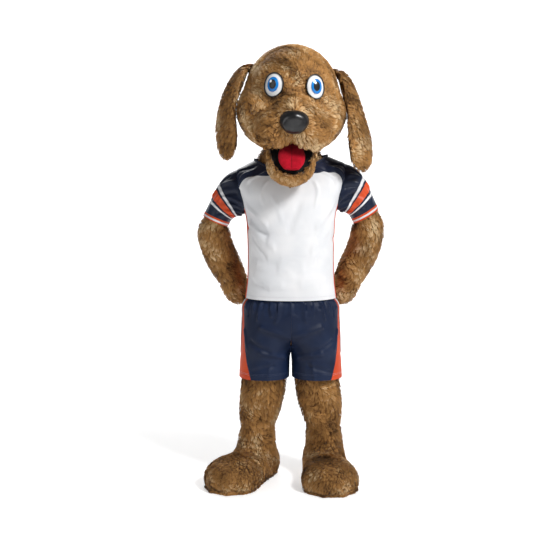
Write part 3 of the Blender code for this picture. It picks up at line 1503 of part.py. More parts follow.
def main():
    for obj in list(bpy.data.objects):
        bpy.data.objects.remove(obj, do_unlink=True)
    costume = add_empty("costume", (0, 0, -SHOULDER_HEIGHT))
    head = add_empty("head", Vector(HEAD_CENTRE))
    head.rotation_euler = Euler((0, math.radians(HEAD_ROLL), math.radians(HEAD_YAW)))
    head.parent = costume
    bpy.context.view_layer.update()
    make_jersey_trunk()
    make_collar()
    make_sleeves()
    make_suit_trunk()
    make_arms()
    make_shorts()
    make_legs()
    make_feet()
    make_head_shell()
    make_mouth()
    make_neck()
    share_seam_normals([wall for wall in WALLS if wall.inner is None])
    for wall in WALLS:
        build_wall(wall)
    make_face_pieces()
    make_ears()


main()
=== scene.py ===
"""Looks of the dog costume: fur with its pile, satin jersey, shorts, feet and face.

Sizes are metres. Shapes use heights above the floor and are then hung from the wearer's shoulders.
Left is -X and right is +X, as seen from the front, and the front faces -Y.
"""

import math

import bmesh
import bpy
import numpy as np
from mathutils import Euler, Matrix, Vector
from mathutils.bvhtree import BVHTree
from mathutils.kdtree import KDTree


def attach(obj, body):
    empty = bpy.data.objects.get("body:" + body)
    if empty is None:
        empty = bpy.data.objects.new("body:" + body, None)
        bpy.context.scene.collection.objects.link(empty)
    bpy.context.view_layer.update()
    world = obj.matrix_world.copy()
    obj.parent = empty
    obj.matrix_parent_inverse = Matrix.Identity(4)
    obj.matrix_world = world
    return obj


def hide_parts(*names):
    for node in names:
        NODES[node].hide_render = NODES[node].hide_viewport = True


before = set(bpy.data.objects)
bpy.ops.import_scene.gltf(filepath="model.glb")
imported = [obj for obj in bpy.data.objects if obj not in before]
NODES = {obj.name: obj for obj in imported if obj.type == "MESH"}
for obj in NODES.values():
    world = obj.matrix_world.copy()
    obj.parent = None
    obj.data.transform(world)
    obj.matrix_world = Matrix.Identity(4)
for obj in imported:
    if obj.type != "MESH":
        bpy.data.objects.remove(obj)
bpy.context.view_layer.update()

SHOULDER_HEIGHT = 1.36
JERSEY_WALL = 0.0016
SEAM_GAP = 0.0003
SIDES = {"left": -1.0, "right": 1.0}
FINE = 6  # steps of the cloth for each step of its solid
CREASE_DEPTH = 1.6  # how many times the heights in the tables the creases stand out


def table(names, *rows):
    """Rows of numbers as one array for each named column."""
    return {name: np.array(column, float) for name, column in zip(names.split(), zip(*rows))}


def smooth(rows, key, at, name):
    """One column at any place between the rows, on a smooth curve; the key column rises."""
    xs = rows[key]
    ys = rows[name]
    slopes = np.gradient(ys, xs)
    at = np.clip(at, xs[0], xs[-1])
    i = np.clip(np.searchsorted(xs, at, side="right") - 1, 0, len(xs) - 2)
    span = xs[i + 1] - xs[i]
    t = (at - xs[i]) / span
    start = (1 + 2 * t) * (1 - t) ** 2 * ys[i] + t * (1 - t) ** 2 * span * slopes[i]
    end = t**2 * (3 - 2 * t) * ys[i + 1] - t**2 * (1 - t) * span * slopes[i + 1]
    return start + end


def unit(vectors):
    return vectors / np.maximum(np.linalg.norm(vectors, axis=-1, keepdims=True), 1e-12)


def ease(t):
    t = np.clip(t, 0, 1)
    return t * t * (3 - 2 * t)


def points(x, y, z):
    return np.stack(np.broadcast_arrays(x, y, z), axis=-1).astype(float)


def hung(xyz):
    """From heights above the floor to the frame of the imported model."""
    return xyz - (0, 0, SHOULDER_HEIGHT)


# Folds are soft ridges and troughs along short lines on a surface, given by an angle round it and
# a fraction along it. A right angle round counts as much as the whole length.

FOLD = "angle along to_angle to_along width height"

JERSEY_FOLDS = table(
    FOLD,
    (-25, 0.60, -55, 0.44, 0.045, -0.008),
    (-155, 0.60, -122, 0.47, 0.045, -0.008),
    (-30, 0.30, -72, 0.25, 0.040, -0.006),
    (-150, 0.33, -108, 0.26, 0.040, -0.006),
    (-40, 0.17, -80, 0.13, 0.035, 0.005),
    (-142, 0.18, -100, 0.12, 0.035, 0.005),
    (-48, 0.92, -46, 0.80, 0.035, -0.005),
    (-130, 0.92, -134, 0.80, 0.035, -0.005),
    (28, 0.58, 58, 0.40, 0.050, -0.008),
    (152, 0.58, 122, 0.42, 0.050, -0.008),
    (40, 0.24, 88, 0.20, 0.045, -0.007),
    (140, 0.22, 100, 0.16, 0.045, -0.007),
    (50, 0.08, 130, 0.06, 0.040, 0.005),
)

JERSEY_CREASES = table(
    FOLD,
    (-31, 0.67, -60, 0.52, 0.020, 0.0045),
    (-27, 0.55, -66, 0.37, 0.022, 0.0045),
    (-30, 0.47, -58, 0.31, 0.014, -0.0035),
    (-149, 0.67, -119, 0.55, 0.018, 0.0045),
    (-153, 0.54, -110, 0.40, 0.022, 0.0040),
    (-150, 0.46, -122, 0.33, 0.014, -0.0035),
    (-44, 0.36, -101, 0.32, 0.015, 0.0030),
    (-28, 0.23, -86, 0.19, 0.017, -0.0035),
    (-58, 0.095, -124, 0.11, 0.013, 0.0025),
    (-139, 0.26, -92, 0.22, 0.015, 0.0030),
    (-152, 0.15, -118, 0.09, 0.013, -0.0025),
    (-84, 0.70, -92, 0.52, 0.022, -0.0030),
    (-104, 0.76, -99, 0.60, 0.018, 0.0026),
    (-70, 0.86, -66, 0.70, 0.018, 0.0030),
    (-113, 0.88, -118, 0.73, 0.018, 0.0030),
    (-58, 0.97, -46, 0.84, 0.018, 0.0050),
    (-40, 0.93, -26, 0.80, 0.020, 0.0055),
    (-33, 0.97, -16, 0.86, 0.016, -0.0045),
    (-123, 0.97, -135, 0.85, 0.018, 0.0045),
    (-141, 0.93, -153, 0.79, 0.020, 0.0055),
    (-148, 0.97, -163, 0.87, 0.016, -0.0045),
    (30, 0.66, 60, 0.50, 0.020, 0.0045),
    (27, 0.52, 70, 0.33, 0.022, -0.0045),
    (150, 0.67, 118, 0.50, 0.020, 0.0045),
    (153, 0.52, 112, 0.36, 0.020, -0.0040),
    (36, 0.34, 96, 0.29, 0.016, 0.0030),
    (144, 0.28, 84, 0.245, 0.016, 0.0032),
    (50, 0.14, 118, 0.12, 0.014, -0.0028),
    (86, 0.80, 92, 0.56, 0.022, -0.0035),
    (58, 0.96, 42, 0.82, 0.020, 0.0050),
    (122, 0.96, 137, 0.83, 0.020, 0.0050),
    (70, 0.90, 62, 0.76, 0.016, 0.0030),
    (12, 0.50, -8, 0.30, 0.016, -0.0030),
    (-170, 0.52, 170, 0.33, 0.016, -0.0030),
)

SLEEVE_FOLDS = table(
    FOLD,
    (50, 0.15, 78, 0.60, 0.10, -0.007),
    (80, 0.20, 110, 0.62, 0.09, -0.006),
    (118, 0.30, 140, 0.85, 0.09, 0.005),
    (-60, 0.15, -88, 0.60, 0.10, -0.007),
    (-110, 0.25, -130, 0.75, 0.10, -0.006),
)

SLEEVE_CREASES = table(
    FOLD,
    (30, 0.06, 62, 0.46, 0.045, 0.0055),
    (46, 0.04, 92, 0.38, 0.040, -0.0050),
    (70, 0.05, 118, 0.55, 0.045, 0.0055),
    (98, 0.10, 132, 0.78, 0.040, -0.0045),
    (126, 0.08, 158, 0.66, 0.045, 0.0050),
    (150, 0.16, 172, 0.92, 0.040, -0.0035),
    (12, 0.20, 84, 0.72, 0.040, 0.0040),
    (20, 0.52, 96, 0.88, 0.035, -0.0035),
    (-34, 0.06, -66, 0.48, 0.045, 0.0055),
    (-58, 0.06, -104, 0.50, 0.045, -0.0050),
    (-92, 0.10, -128, 0.70, 0.045, 0.0055),
    (-134, 0.12, -158, 0.80, 0.040, -0.0040),
    (-16, 0.35, -80, 0.80, 0.040, 0.0040),
)

SHORTS_FOLDS = table(
    FOLD,
    (62, 0.02, 66, 0.16, 0.05, -0.005),
    (84, 0.02, 82, 0.18, 0.05, -0.005),
    (45, 0.02, 47, 0.14, 0.05, -0.005),
    (70, 0.45, 135, 0.60, 0.07, -0.006),
    (60, 0.78, 125, 0.70, 0.07, -0.005),
    (-60, 0.02, -62, 0.16, 0.05, -0.005),
    (-82, 0.02, -80, 0.18, 0.05, -0.005),
    (-70, 0.46, -130, 0.62, 0.07, -0.006),
)

SHORTS_CREASES = table(
    FOLD,
    (24, 0.01, 27, 0.13, 0.020, 0.0035),
    (34, 0.02, 33, 0.21, 0.018, -0.0035),
    (41, 0.01, 44, 0.15, 0.018, 0.0040),
    (53, 0.02, 52, 0.25, 0.020, 0.0040),
    (58, 0.01, 57, 0.12, 0.014, -0.0030),
    (66, 0.01, 70, 0.20, 0.018, 0.0038),
    (74, 0.02, 76, 0.14, 0.016, -0.0035),
    (78, 0.01, 77, 0.27, 0.020, 0.0042),
    (88, 0.02, 87, 0.17, 0.018, -0.0035),
    (60, 0.34, 118, 0.50, 0.030, 0.0050),
    (48, 0.52, 96, 0.66, 0.028, -0.0045),
    (80, 0.66, 140, 0.74, 0.028, 0.0045),
    (64, 0.90, 110, 0.82, 0.026, -0.0040),
    (96, 0.98, 100, 0.80, 0.026, 0.0040),
    (26, 0.40, 44, 0.62, 0.024, 0.0030),
    (-22, 0.01, -26, 0.14, 0.020, 0.0035),
    (-38, 0.02, -36, 0.20, 0.018, -0.0035),
    (-50, 0.01, -54, 0.16, 0.018, 0.0040),
    (-68, 0.01, -67, 0.24, 0.020, 0.0040),
    (-75, 0.02, -77, 0.15, 0.016, -0.0032),
    (-86, 0.01, -85, 0.18, 0.018, 0.0038),
    (-58, 0.36, -116, 0.52, 0.030, 0.0050),
    (-46, 0.56, -98, 0.70, 0.028, -0.0045),
    (-84, 0.72, -138, 0.78, 0.028, 0.0045),
    (-70, 0.94, -116, 0.86, 0.026, -0.0040),
)


def fold_height(folds, angle, along):
    """How far the folds lift a surface at an angle in degrees and a fraction along it."""
    here = np.stack(np.broadcast_arrays(np.asarray(angle, float) / 90, along), axis=-1)
    total = np.zeros(here.shape[:-1])
    for a, b, c, d, width, height in zip(*folds.values()):
        start = np.array((a / 90, b))
        run = np.array((c / 90, d)) - start
        share = np.clip(((here - start) @ run) / (run @ run), 0, 1)
        away = here - start - share[..., None] * run
        total += height * np.exp(-(away**2).sum(-1) / width**2)
    return total


# The trunk of the jersey: rings from its hem up over the shoulders to the neckline.

TRUNK = table(
    "along half_width front back side_height front_height back_height roundness",
    (0.00, 0.196, 0.152, 0.134, 0.780, 0.778, 0.782, 2.3),
    (0.15, 0.187, 0.157, 0.136, 0.860, 0.860, 0.860, 2.3),
    (0.32, 0.185, 0.155, 0.132, 0.960, 0.955, 0.960, 2.3),
    (0.48, 0.187, 0.148, 0.130, 1.060, 1.050, 1.060, 2.3),
    (0.60, 0.193, 0.141, 0.131, 1.135, 1.120, 1.135, 2.4),
    (0.70, 0.211, 0.134, 0.130, 1.200, 1.175, 1.200, 2.5),
    (0.80, 0.236, 0.127, 0.126, 1.285, 1.225, 1.250, 2.6),
    (0.88, 0.231, 0.116, 0.118, 1.335, 1.262, 1.295, 2.4),
    (0.95, 0.195, 0.104, 0.104, 1.355, 1.290, 1.335, 2.1),
    (1.00, 0.158, 0.092, 0.094, 1.372, 1.312, 1.366, 2.0),
)
LEAN = 0.055  # the shoulders rise this much for each metre towards +X
LEAN_FROM, LEAN_TO = 0.95, 1.25

# The armhole, from the middle of the underarm round the front to the top of the shoulder.
ARMHOLE = table(
    "step angle along",
    (0, 0, 0.620),
    (1, -7, 0.625),
    (2, -14, 0.655),
    (3, -19.5, 0.695),
    (4, -22, 0.740),
    (5, -22.5, 0.790),
    (6, -19, 0.835),
    (7, -11, 0.870),
    (8, 0, 0.885),
)
SIDE_ANGLE = 7.0
UNDERARM_STEP = 1
CORNER_STEP = 4
ARMHOLE_STEPS = 8

# The seam between the front and the shoulder panel, from the armhole to the neckline.
YOKE_SEAM = table(
    "step angle along",
    (0, -22, 0.740),
    (1, -33, 0.820),
    (2, -43, 0.880),
    (3, -52, 0.915),
    (4, -61, 0.940),
    (5, -69, 0.965),
    (6, -76, 1.000),
)
YOKE_STEPS = 6
NECK_STEPS = 2
SEAM_STEPS = 6


def leaned(xyz):
    """The trunk and arms with one shoulder a little higher than the other."""
    share = ease((xyz[..., 2] - LEAN_FROM) / (LEAN_TO - LEAN_FROM))
    out = xyz.copy()
    out[..., 2] += LEAN * xyz[..., 0] * share
    return out


def trunk_base(angle, along):
    turn = np.radians(angle)
    c = np.cos(turn)
    s = np.sin(turn)
    column = {name: smooth(TRUNK, "along", along, name) for name in TRUNK if name != "along"}
    power = 2 / column["roundness"]
    depth = np.where(s < 0, column["front"], column["back"])
    height = np.where(s < 0, column["front_height"], column["back_height"])
    x = column["half_width"] * np.sign(c) * np.abs(c) ** power
    y = depth * np.sign(s) * np.abs(s) ** power
    return points(x, y, column["side_height"] * c**2 + height * s**2)


def trunk_normal(angle, along):
    step = 0.5
    rise = 0.004
    round_it = trunk_base(angle + step, along) - trunk_base(angle - step, along)
    up = trunk_base(angle, np.minimum(along + rise, 1)) - trunk_base(angle, np.maximum(along - rise, 0))
    return unit(np.cross(round_it, up))


def trunk(angle, along, out=0.0):
    """A point of the jersey's trunk, or that far outside it."""
    angle, along = np.broadcast_arrays(np.asarray(angle, float), np.asarray(along, float))
    signed = (angle + 180) % 360 - 180
    creases = fold_height(JERSEY_CREASES, signed, along) * CREASE_DEPTH
    lift = fold_height(JERSEY_FOLDS, signed, along) + creases + out
    return leaned(trunk_base(angle, along) + lift[..., None] * trunk_normal(angle, along))


def filled(bottom, top, left, right):
    """A grid between four edges, each a list of angle and along that share their corners."""
    rows, cols = len(left), len(bottom)
    v = np.linspace(0, 1, rows)[:, None, None]
    u = np.linspace(0, 1, cols)[None, :, None]
    ruled = (1 - v) * bottom[None] + v * top[None] + (1 - u) * left[:, None] + u * right[:, None]
    corners = (1 - u) * (1 - v) * bottom[0] + u * (1 - v) * bottom[-1]
    corners = corners + (1 - u) * v * top[0] + u * v * top[-1]
    return ruled - corners


def seam_places(rows, start, end, back=False):
    """Angle and along on a seam, in fine steps from one of its steps to another."""
    count = int(round(abs(end - start) * FINE))
    step = np.linspace(start, end, count + 1)
    out = np.stack([smooth(rows, "step", step, name) for name in ("angle", "along")], axis=-1)
    return out * (-1, 1) if back else out


def line(start, end, count):
    share = np.linspace(0, 1, count * FINE + 1)[:, None]
    return np.array(start, float) * (1 - share) + np.array(end, float) * share


def joined(*edges):
    """Edges one after the other, without the doubled points."""
    return np.concatenate([edges[0]] + [edge[1:] for edge in edges[1:]])


def jersey_panel(back):
    """Angle and along over the front or back of the jersey."""
    turn = -1 if back else 1
    underarm = float(smooth(ARMHOLE, "step", UNDERARM_STEP, "along"))
    rise = line((-SIDE_ANGLE * turn, 0), (-SIDE_ANGLE * turn, underarm), SEAM_STEPS)
    right = joined(rise, seam_places(ARMHOLE, UNDERARM_STEP, CORNER_STEP, back))
    seam = seam_places(YOKE_SEAM, 0, YOKE_STEPS, back)
    across = -180.0 * turn
    left = np.stack([across - right[:, 0], right[:, 1]], axis=-1)
    far = np.stack([across - seam[:, 0], seam[:, 1]], axis=-1)
    top = joined(far, line(far[-1], seam[-1], NECK_STEPS), seam[::-1])
    share = np.linspace(0, 1, len(top))[:, None]
    bottom = left[0] * (1 - share) + right[0] * share
    return filled(bottom, top, left, right)


def side_panel():
    front = seam_places(ARMHOLE, 0, UNDERARM_STEP)
    top = joined(front[::-1], seam_places(ARMHOLE, 0, UNDERARM_STEP, True))
    left = line((-SIDE_ANGLE, 0), tuple(top[0]), SEAM_STEPS)
    right = line((SIDE_ANGLE, 0), tuple(top[-1]), SEAM_STEPS)
    return filled(line(left[0], right[0], 2), top, left, right)


def yoke_panel():
    front = seam_places(ARMHOLE, CORNER_STEP, ARMHOLE_STEPS)
    outside = joined(front, (front * (-1, 1))[::-1])
    seam = seam_places(YOKE_SEAM, 0, YOKE_STEPS)
    share = np.linspace(0, 1, len(outside))[:, None]
    neck = seam[-1] * (1 - share) + seam[-1] * (-1, 1) * share
    return filled(outside, neck, seam, seam * (-1, 1))


def on_trunk(places, sign=1.0, out=0.0):
    """Places on the trunk as points, mirrored to the other side on request."""
    if sign > 0:
        return trunk(places[..., 0], places[..., 1], out)
    return trunk(-180 - places[..., 0], places[..., 1], out)


# Sleeves.

CUFF_CENTRE = np.array((0.3245, 0.030, 1.117))
CUFF_AXIS = unit(np.array((0.46, 0.07, -0.885)))
CUFF_HALF_WIDTH = 0.060
CUFF_HALF_DEPTH = 0.070
CUFF_HEIGHT = 0.022
CUFF_DRAW = 0.985
SLEEVE_BEND = 0.36
SHOULDER_MIDDLE = np.array((0.215, 0.0, 1.24))
UNDERARM_HEADING = np.array((0.90, 0.0, -0.42))
SHOULDER_HEADING = np.array((0.98, 0.0, -0.22))
SLEEVE_COLUMNS = 112
SLEEVE_ROWS = 56
ARMHOLE_BLEND = 0.17


def ring_frame(axis):
    back = unit(np.array((0.0, 1.0, 0.0)) - axis[1] * axis)
    return unit(np.cross(axis, back)), back


def armhole_places(turn):
    """Angle and along on the armhole, at an angle round the sleeve."""
    turn = np.asarray(turn, float) % 360
    step = np.minimum(turn, 360 - turn) / 180 * ARMHOLE_STEPS
    angle = smooth(ARMHOLE, "step", step, "angle") * np.where(turn > 180, -1, 1)
    return angle, smooth(ARMHOLE, "step", step, "along")


def cuff_ring(turn, draw=1.0):
    out, back = ring_frame(CUFF_AXIS)
    beta = np.radians(turn)[..., None]
    return draw * (-np.cos(beta) * CUFF_HALF_WIDTH * out - np.sin(beta) * CUFF_HALF_DEPTH * back)


def on_side(grid, sign):
    return leaned(grid * (sign, 1, 1))


def sleeve(turn, t, sign, out=0.0):
    """A point of a sleeve: turn goes round from the underarm by the front, t down to the cuff."""
    turn, t = np.broadcast_arrays(np.asarray(turn, float) % 360, np.asarray(t, float))
    angle, along = armhole_places(turn)
    start = trunk_base(angle, along)
    beta = np.radians(turn)[..., None]
    end = CUFF_CENTRE - CUFF_HEIGHT * CUFF_AXIS + cuff_ring(turn)
    top = (1 - np.cos(beta)) / 2
    heading = unit((1 - top) * UNDERARM_HEADING + top * SHOULDER_HEADING)
    reach = np.linalg.norm(end - start, axis=-1, keepdims=True) * SLEEVE_BEND
    first = start + heading * reach
    second = end - CUFF_AXIS * reach
    share = t[..., None]
    spot = (1 - share) ** 3 * start + 3 * share * (1 - share) ** 2 * first
    spot = spot + 3 * share**2 * (1 - share) * second + share**3 * end
    middle = (1 - share) * SHOULDER_MIDDLE + share * (CUFF_CENTRE - CUFF_HEIGHT * CUFF_AXIS)
    signed = np.where(turn > 180, turn - 360, turn)
    lift = fold_height(SLEEVE_FOLDS, signed, t) * ease(t / 0.4) * ease((1 - t) / 0.15)
    creases = fold_height(SLEEVE_CREASES, signed, t) * CREASE_DEPTH
    lift = lift + creases * ease(t / 0.12) * ease((1 - t) / 0.08)
    spot = on_side(spot + (lift[..., None] + out) * unit(spot - middle), sign)
    seam = on_trunk(np.stack([angle, along], axis=-1), sign, out)
    return spot + (seam - on_side(start, sign)) * (1 - ease(t / ARMHOLE_BLEND))[..., None]


# Shorts: each leg is a ring that the middle plane cuts above the crotch.

SHORTS = table(
    "drop centre half_width front back height",
    (0.000, 0.000, 0.180, 0.140, 0.121, 0.785),
    (0.055, 0.000, 0.198, 0.150, 0.133, 0.766),
    (0.245, 0.006, 0.204, 0.155, 0.148, 0.700),
    (0.360, 0.0277, 0.1843, 0.153, 0.151, 0.660),
    (0.450, 0.0552, 0.1578, 0.149, 0.149, 0.629),
    (0.520, 0.0786, 0.1354, 0.144, 0.146, 0.604),
    (0.580, 0.0938, 0.1202, 0.139, 0.142, 0.583),
    (0.625, 0.1016, 0.1129, 0.135, 0.138, 0.568),
    (0.665, 0.1059, 0.1091, 0.132, 0.134, 0.554),
    (0.705, 0.1077, 0.1077, 0.130, 0.131, 0.540),
    (0.770, 0.1105, 0.1075, 0.127, 0.126, 0.518),
    (0.880, 0.1125, 0.1080, 0.125, 0.121, 0.480),
    (1.000, 0.1140, 0.1090, 0.126, 0.119, 0.438),
)
LEG_ROUNDNESS = 2.25
SHORTS_ROWS = 72
SHORTS_COLUMNS = 40
STRIP_COLUMNS = 24

# How far round from the side each shorts piece reaches, by the drop from the waist.
STRIP = table(
    "drop orange white",
    (0.00, 15, 9),
    (0.25, 20, 12),
    (0.50, 29, 11),
    (0.75, 44, 8),
    (1.00, 62, 5),
)
GUSSET_START, GUSSET_END = 0.03, 0.705
GUSSET_UNDER = 0.0012
GUSSET_WALL = 0.0016
GUSSET_ROWS = 60
GUSSET_COLUMNS = 8
WAISTBAND_TOP = 0.812
WAISTBAND_WALL = 0.003
WAISTBAND_DRAW = 0.99
WAISTBAND_ROWS = 6
GATHER_TURN = 0.9  # radians of its ripples for each of its points
BAND_BULGE = 0.0012


def shorts_point(angle, drop, sign, out=0.0):
    """A point of one shorts leg: 0 degrees is the side, 90 the front and 180 the inside."""
    angle, drop = np.broadcast_arrays(np.asarray(angle, float), np.asarray(drop, float))
    column = {name: smooth(SHORTS, "drop", drop, name) for name in SHORTS if name != "drop"}
    turn = np.radians(angle)
    c = np.cos(turn)
    s = np.sin(turn)
    power = 2 / LEG_ROUNDNESS
    lift = fold_height(SHORTS_FOLDS, angle, drop)
    lift = lift + fold_height(SHORTS_CREASES, angle, drop) * CREASE_DEPTH
    inward = ease((np.abs(angle) - 150) / 25)
    lift = lift * ease(drop / 0.05) * (1 - inward) + out
    half = column["half_width"] + lift
    depth = np.where(s > 0, column["front"], column["back"]) + lift
    x = column["centre"] + half * np.sign(c) * np.abs(c) ** power
    y = -depth * np.sign(s) * np.abs(s) ** power
    return points(np.maximum(x, 0), y, column["height"]) * (sign, 1, 1)


def middle_angle(drop):
    """Where a leg's ring meets the middle plane, in degrees from the side."""
    centre = smooth(SHORTS, "drop", drop, "centre")
    half = smooth(SHORTS, "drop", drop, "half_width")
    share = np.clip(centre / half, 0, 1) ** (LEG_ROUNDNESS / 2)
    return np.degrees(np.arccos(-share))


def spread(start, end, steps, drops):
    """Angles across a panel, row by row, from one edge to the other."""
    share = np.linspace(0, 1, steps + 1)[None]
    start = np.broadcast_to(start, drops.shape)[:, None]
    end = np.broadcast_to(end, drops.shape)[:, None]
    return start + (end - start) * share


# Where the head and feet are.

HEAD_CENTRE = np.array((0.0, -0.03, 1.57))
HEAD_TURN = np.array(Euler((0, math.radians(2.5), math.radians(2.0))).to_matrix())
HEAD_MIDDLE = hung(HEAD_CENTRE)
FLOOR = -SHOULDER_HEIGHT
FOOT_ANKLES = {side: (sign * 0.146, 0.0, 0.19) for side, sign in SIDES.items()}


def pairs(names, sides=SIDES):
    """Names with each side after them."""
    return [f"{name}_{side}" for name in names.split() for side in sides]


FUR_NODES = {
    "head": pairs("head_crown head_side") + ["head_face"] + pairs("muzzle") + ["jaw"],
    "ear_left": ["ear_left"],
    "ear_right": ["ear_right"],
    "neck": ["neck"],
    "suit": ["suit_front", "suit_back"],
}
for group, names in (
    ("arm", "arm_front arm_back paw"),
    ("leg", "leg_front leg_back"),
    ("foot", "foot_upper toe_cap sole"),
):
    for side in SIDES:
        FUR_NODES[f"{group}_{side}"] = pairs(names, [side])
CLOTH_NODES = ["jersey_front", "jersey_back", "collar", "waistband"]
CLOTH_NODES += pairs("jersey_side yoke sleeve cuff shorts_front shorts_back shorts_side")


# Materials from nodes.


class Looks:
    """A material under construction, with short calls for its nodes."""

    def __init__(self, name, roughness, sheen=0.0, coat=0.0, specular=0.5):
        self.material = bpy.data.materials.new(name)
        self.material.use_nodes = True
        self.tree = self.material.node_tree
        self.shader = self.tree.nodes["Principled BSDF"]
        self.shader.inputs["Roughness"].default_value = roughness
        self.shader.inputs["Specular IOR Level"].default_value = specular
        self.shader.inputs["Sheen Weight"].default_value = sheen
        self.shader.inputs["Coat Weight"].default_value = coat
        self.height = None

    def node(self, kind, **values):
        made = self.tree.nodes.new(kind)
        for name, value in values.items():
            setattr(made, name, value)
        return made

    def link(self, start, end):
        self.tree.links.new(start, end)

    def coordinates(self, kind, scale=(1, 1, 1)):
        source = self.node("ShaderNodeTexCoord")
        mapping = self.node("ShaderNodeMapping")
        mapping.inputs["Scale"].default_value = scale
        self.link(source.outputs[kind], mapping.inputs["Vector"])
        return mapping.outputs["Vector"]

    def noise(self, scale, detail, stretch=(1, 1, 1)):
        made = self.node("ShaderNodeTexNoise")
        made.inputs["Scale"].default_value = scale
        made.inputs["Detail"].default_value = detail
        self.link(self.coordinates("Object", stretch), made.inputs["Vector"])
        return made.outputs["Fac"]

    def wave(self, scale, direction):
        made = self.node("ShaderNodeTexWave", bands_direction=direction)
        made.inputs["Scale"].default_value = scale
        self.link(self.coordinates("UV"), made.inputs["Vector"])
        return made.outputs["Fac"]

    def ramp(self, source, stops, constant=False):
        made = self.node("ShaderNodeValToRGB")
        made.color_ramp.interpolation = "CONSTANT" if constant else "EASE"
        elements = made.color_ramp.elements
        while len(elements) < len(stops):
            elements.new(0.5)
        for element, (place, colour) in zip(elements, stops):
            element.position = place
            element.color = (*colour, 1)
        self.link(source, made.inputs["Fac"])
        return made.outputs["Color"]

    def math(self, kind, first, second):
        made = self.node("ShaderNodeMath", operation=kind)
        for socket, value in zip(made.inputs, (first, second)):
            if isinstance(value, (int, float)):
                socket.default_value = value
            else:
                self.link(value, socket)
        return made.outputs["Value"]

    def tinted(self, colour, tint):
        """One colour multiplied by another."""
        made = self.node("ShaderNodeMix", data_type="RGBA", blend_type="MULTIPLY")
        made.inputs[0].default_value = 1.0
        self.link(colour, made.inputs[6])
        self.link(tint, made.inputs[7])
        return made.outputs[2]

    def bump(self, source, strength, distance):
        made = self.node("ShaderNodeBump")
        made.inputs["Strength"].default_value = strength
        made.inputs["Distance"].default_value = distance
        self.link(source, made.inputs["Height"])
        if self.height is not None:
            self.link(self.height, made.inputs["Normal"])
        self.height = made.outputs["Normal"]

    def done(self, colour):
        self.link(colour, self.shader.inputs["Base Color"])
        if self.height is not None:
            self.link(self.height, self.shader.inputs["Normal"])
        return self.material

    def uneven(self, scale, detail, shade, colour):
        """Ends the material with a colour that is darker in soft patches."""
        return self.done(self.ramp(self.noise(scale, detail), ((0.3, shade), (0.7, colour))))


CLOTH_SPECULAR = 0.28
THREAD_SCALE = 130.0  # waves for each metre of cloth, in units of the wave texture
THREAD_DEPTH = 0.00012
RIPPLE_DEPTH = 0.0025
RIB_SCALE = 70.0
RIB_DEPTH = 0.0008


def weave(looks):
    """Crossed threads as a fine relief, on cloth that isn't quite even."""
    across = looks.wave(THREAD_SCALE, "X")
    down = looks.wave(THREAD_SCALE, "Y")
    looks.bump(looks.math("MULTIPLY", across, down), 0.5, THREAD_DEPTH)
    looks.bump(looks.noise(22.0, 3.0), 0.25, RIPPLE_DEPTH)


def knit_cloth(name, colour, shade, roughness, sheen, sheen_tint=(1, 1, 1)):
    looks = Looks(name, roughness, sheen, specular=CLOTH_SPECULAR)
    looks.shader.inputs["Sheen Tint"].default_value = (*sheen_tint, 1)
    looks.shader.inputs["Sheen Roughness"].default_value = 0.4
    weave(looks)
    return looks.uneven(9.0, 2.0, shade, colour)


def banded_cloth(name, bands, roughness, sheen, ribbed=False):
    """Cloth with plain bands across it, each from a distance down the piece in metres."""
    looks = Looks(name, roughness, sheen, specular=CLOTH_SPECULAR)
    looks.shader.inputs["Sheen Tint"].default_value = (*SATIN_TINT, 1)
    split = looks.node("ShaderNodeSeparateXYZ")
    looks.link(looks.coordinates("UV"), split.inputs["Vector"])
    if ribbed:
        looks.bump(looks.wave(RIB_SCALE, "X"), 0.8, RIB_DEPTH)
    else:
        weave(looks)
    colour = looks.ramp(split.outputs["Y"], bands, constant=True)
    shade = looks.ramp(looks.noise(12.0, 2.0), ((0.25, (0.78, 0.78, 0.8)), (0.7, (1, 1, 1))))
    return looks.done(looks.tinted(colour, shade))


WHITE = (0.76, 0.76, 0.77)
ORANGE = (0.66, 0.075, 0.014)
NAVY = (0.008, 0.013, 0.033)
SATIN_TINT = (0.5, 0.6, 0.85)
FUR_DARK = (0.060, 0.024, 0.006)
FUR_MIDDLE = (0.46, 0.225, 0.068)
FUR_LIGHT = (0.93, 0.70, 0.40)


def fur_skin_looks():
    """The backing between the tufts."""
    looks = Looks("fur_backing", 0.95, 0.2)
    strands = looks.noise(160.0, 4.0, stretch=(1, 1, 0.3))
    looks.bump(strands, 0.9, 0.004)
    patch = looks.noise(18.0, 3.0)
    both = looks.math("MULTIPLY", strands, patch)
    return looks.done(looks.ramp(both, ((0.1, FUR_DARK), (0.4, FUR_MIDDLE))))


def fur_pile_looks():
    """Tufts that are dark at the root, golden at the tip and darkened in hollows and at seams by
    painted shade, lock by lock.
    """
    looks = Looks("fur_pile", 0.6, 0.06, specular=0.16)
    looks.shader.inputs["Sheen Tint"].default_value = (0.9, 0.7, 0.45, 1)
    pile = looks.node("ShaderNodeAttribute", attribute_name="pile")
    split = looks.node("ShaderNodeSeparateColor")
    looks.link(pile.outputs["Color"], split.inputs["Color"])
    along, tone_and_shade, strand = (split.outputs[name] for name in ("Red", "Green", "Blue"))
    # partly random tone and partly painted highlight and shade: light and dark patches that stand in
    # for the sheen of pile lying different ways
    patch = looks.math("SUBTRACT", looks.noise(10.0, 1.5), 0.5)
    place = looks.math("MULTIPLY", along, 0.28)
    for source, share in ((tone_and_shade, 0.62), (strand, 0.10), (patch, 1.15)):
        place = looks.math("ADD", place, looks.math("MULTIPLY", source, share))
    stops = ((0.05, FUR_DARK), (0.50, FUR_MIDDLE), (0.95, FUR_LIGHT))
    return looks.done(looks.ramp(place, stops))


def felt(name, colour, shade):
    looks = Looks(name, 0.95, 0.05, specular=0.15)
    looks.bump(looks.noise(420.0, 4.0), 0.5, 0.0008)
    return looks.uneven(60.0, 3.0, shade, colour)


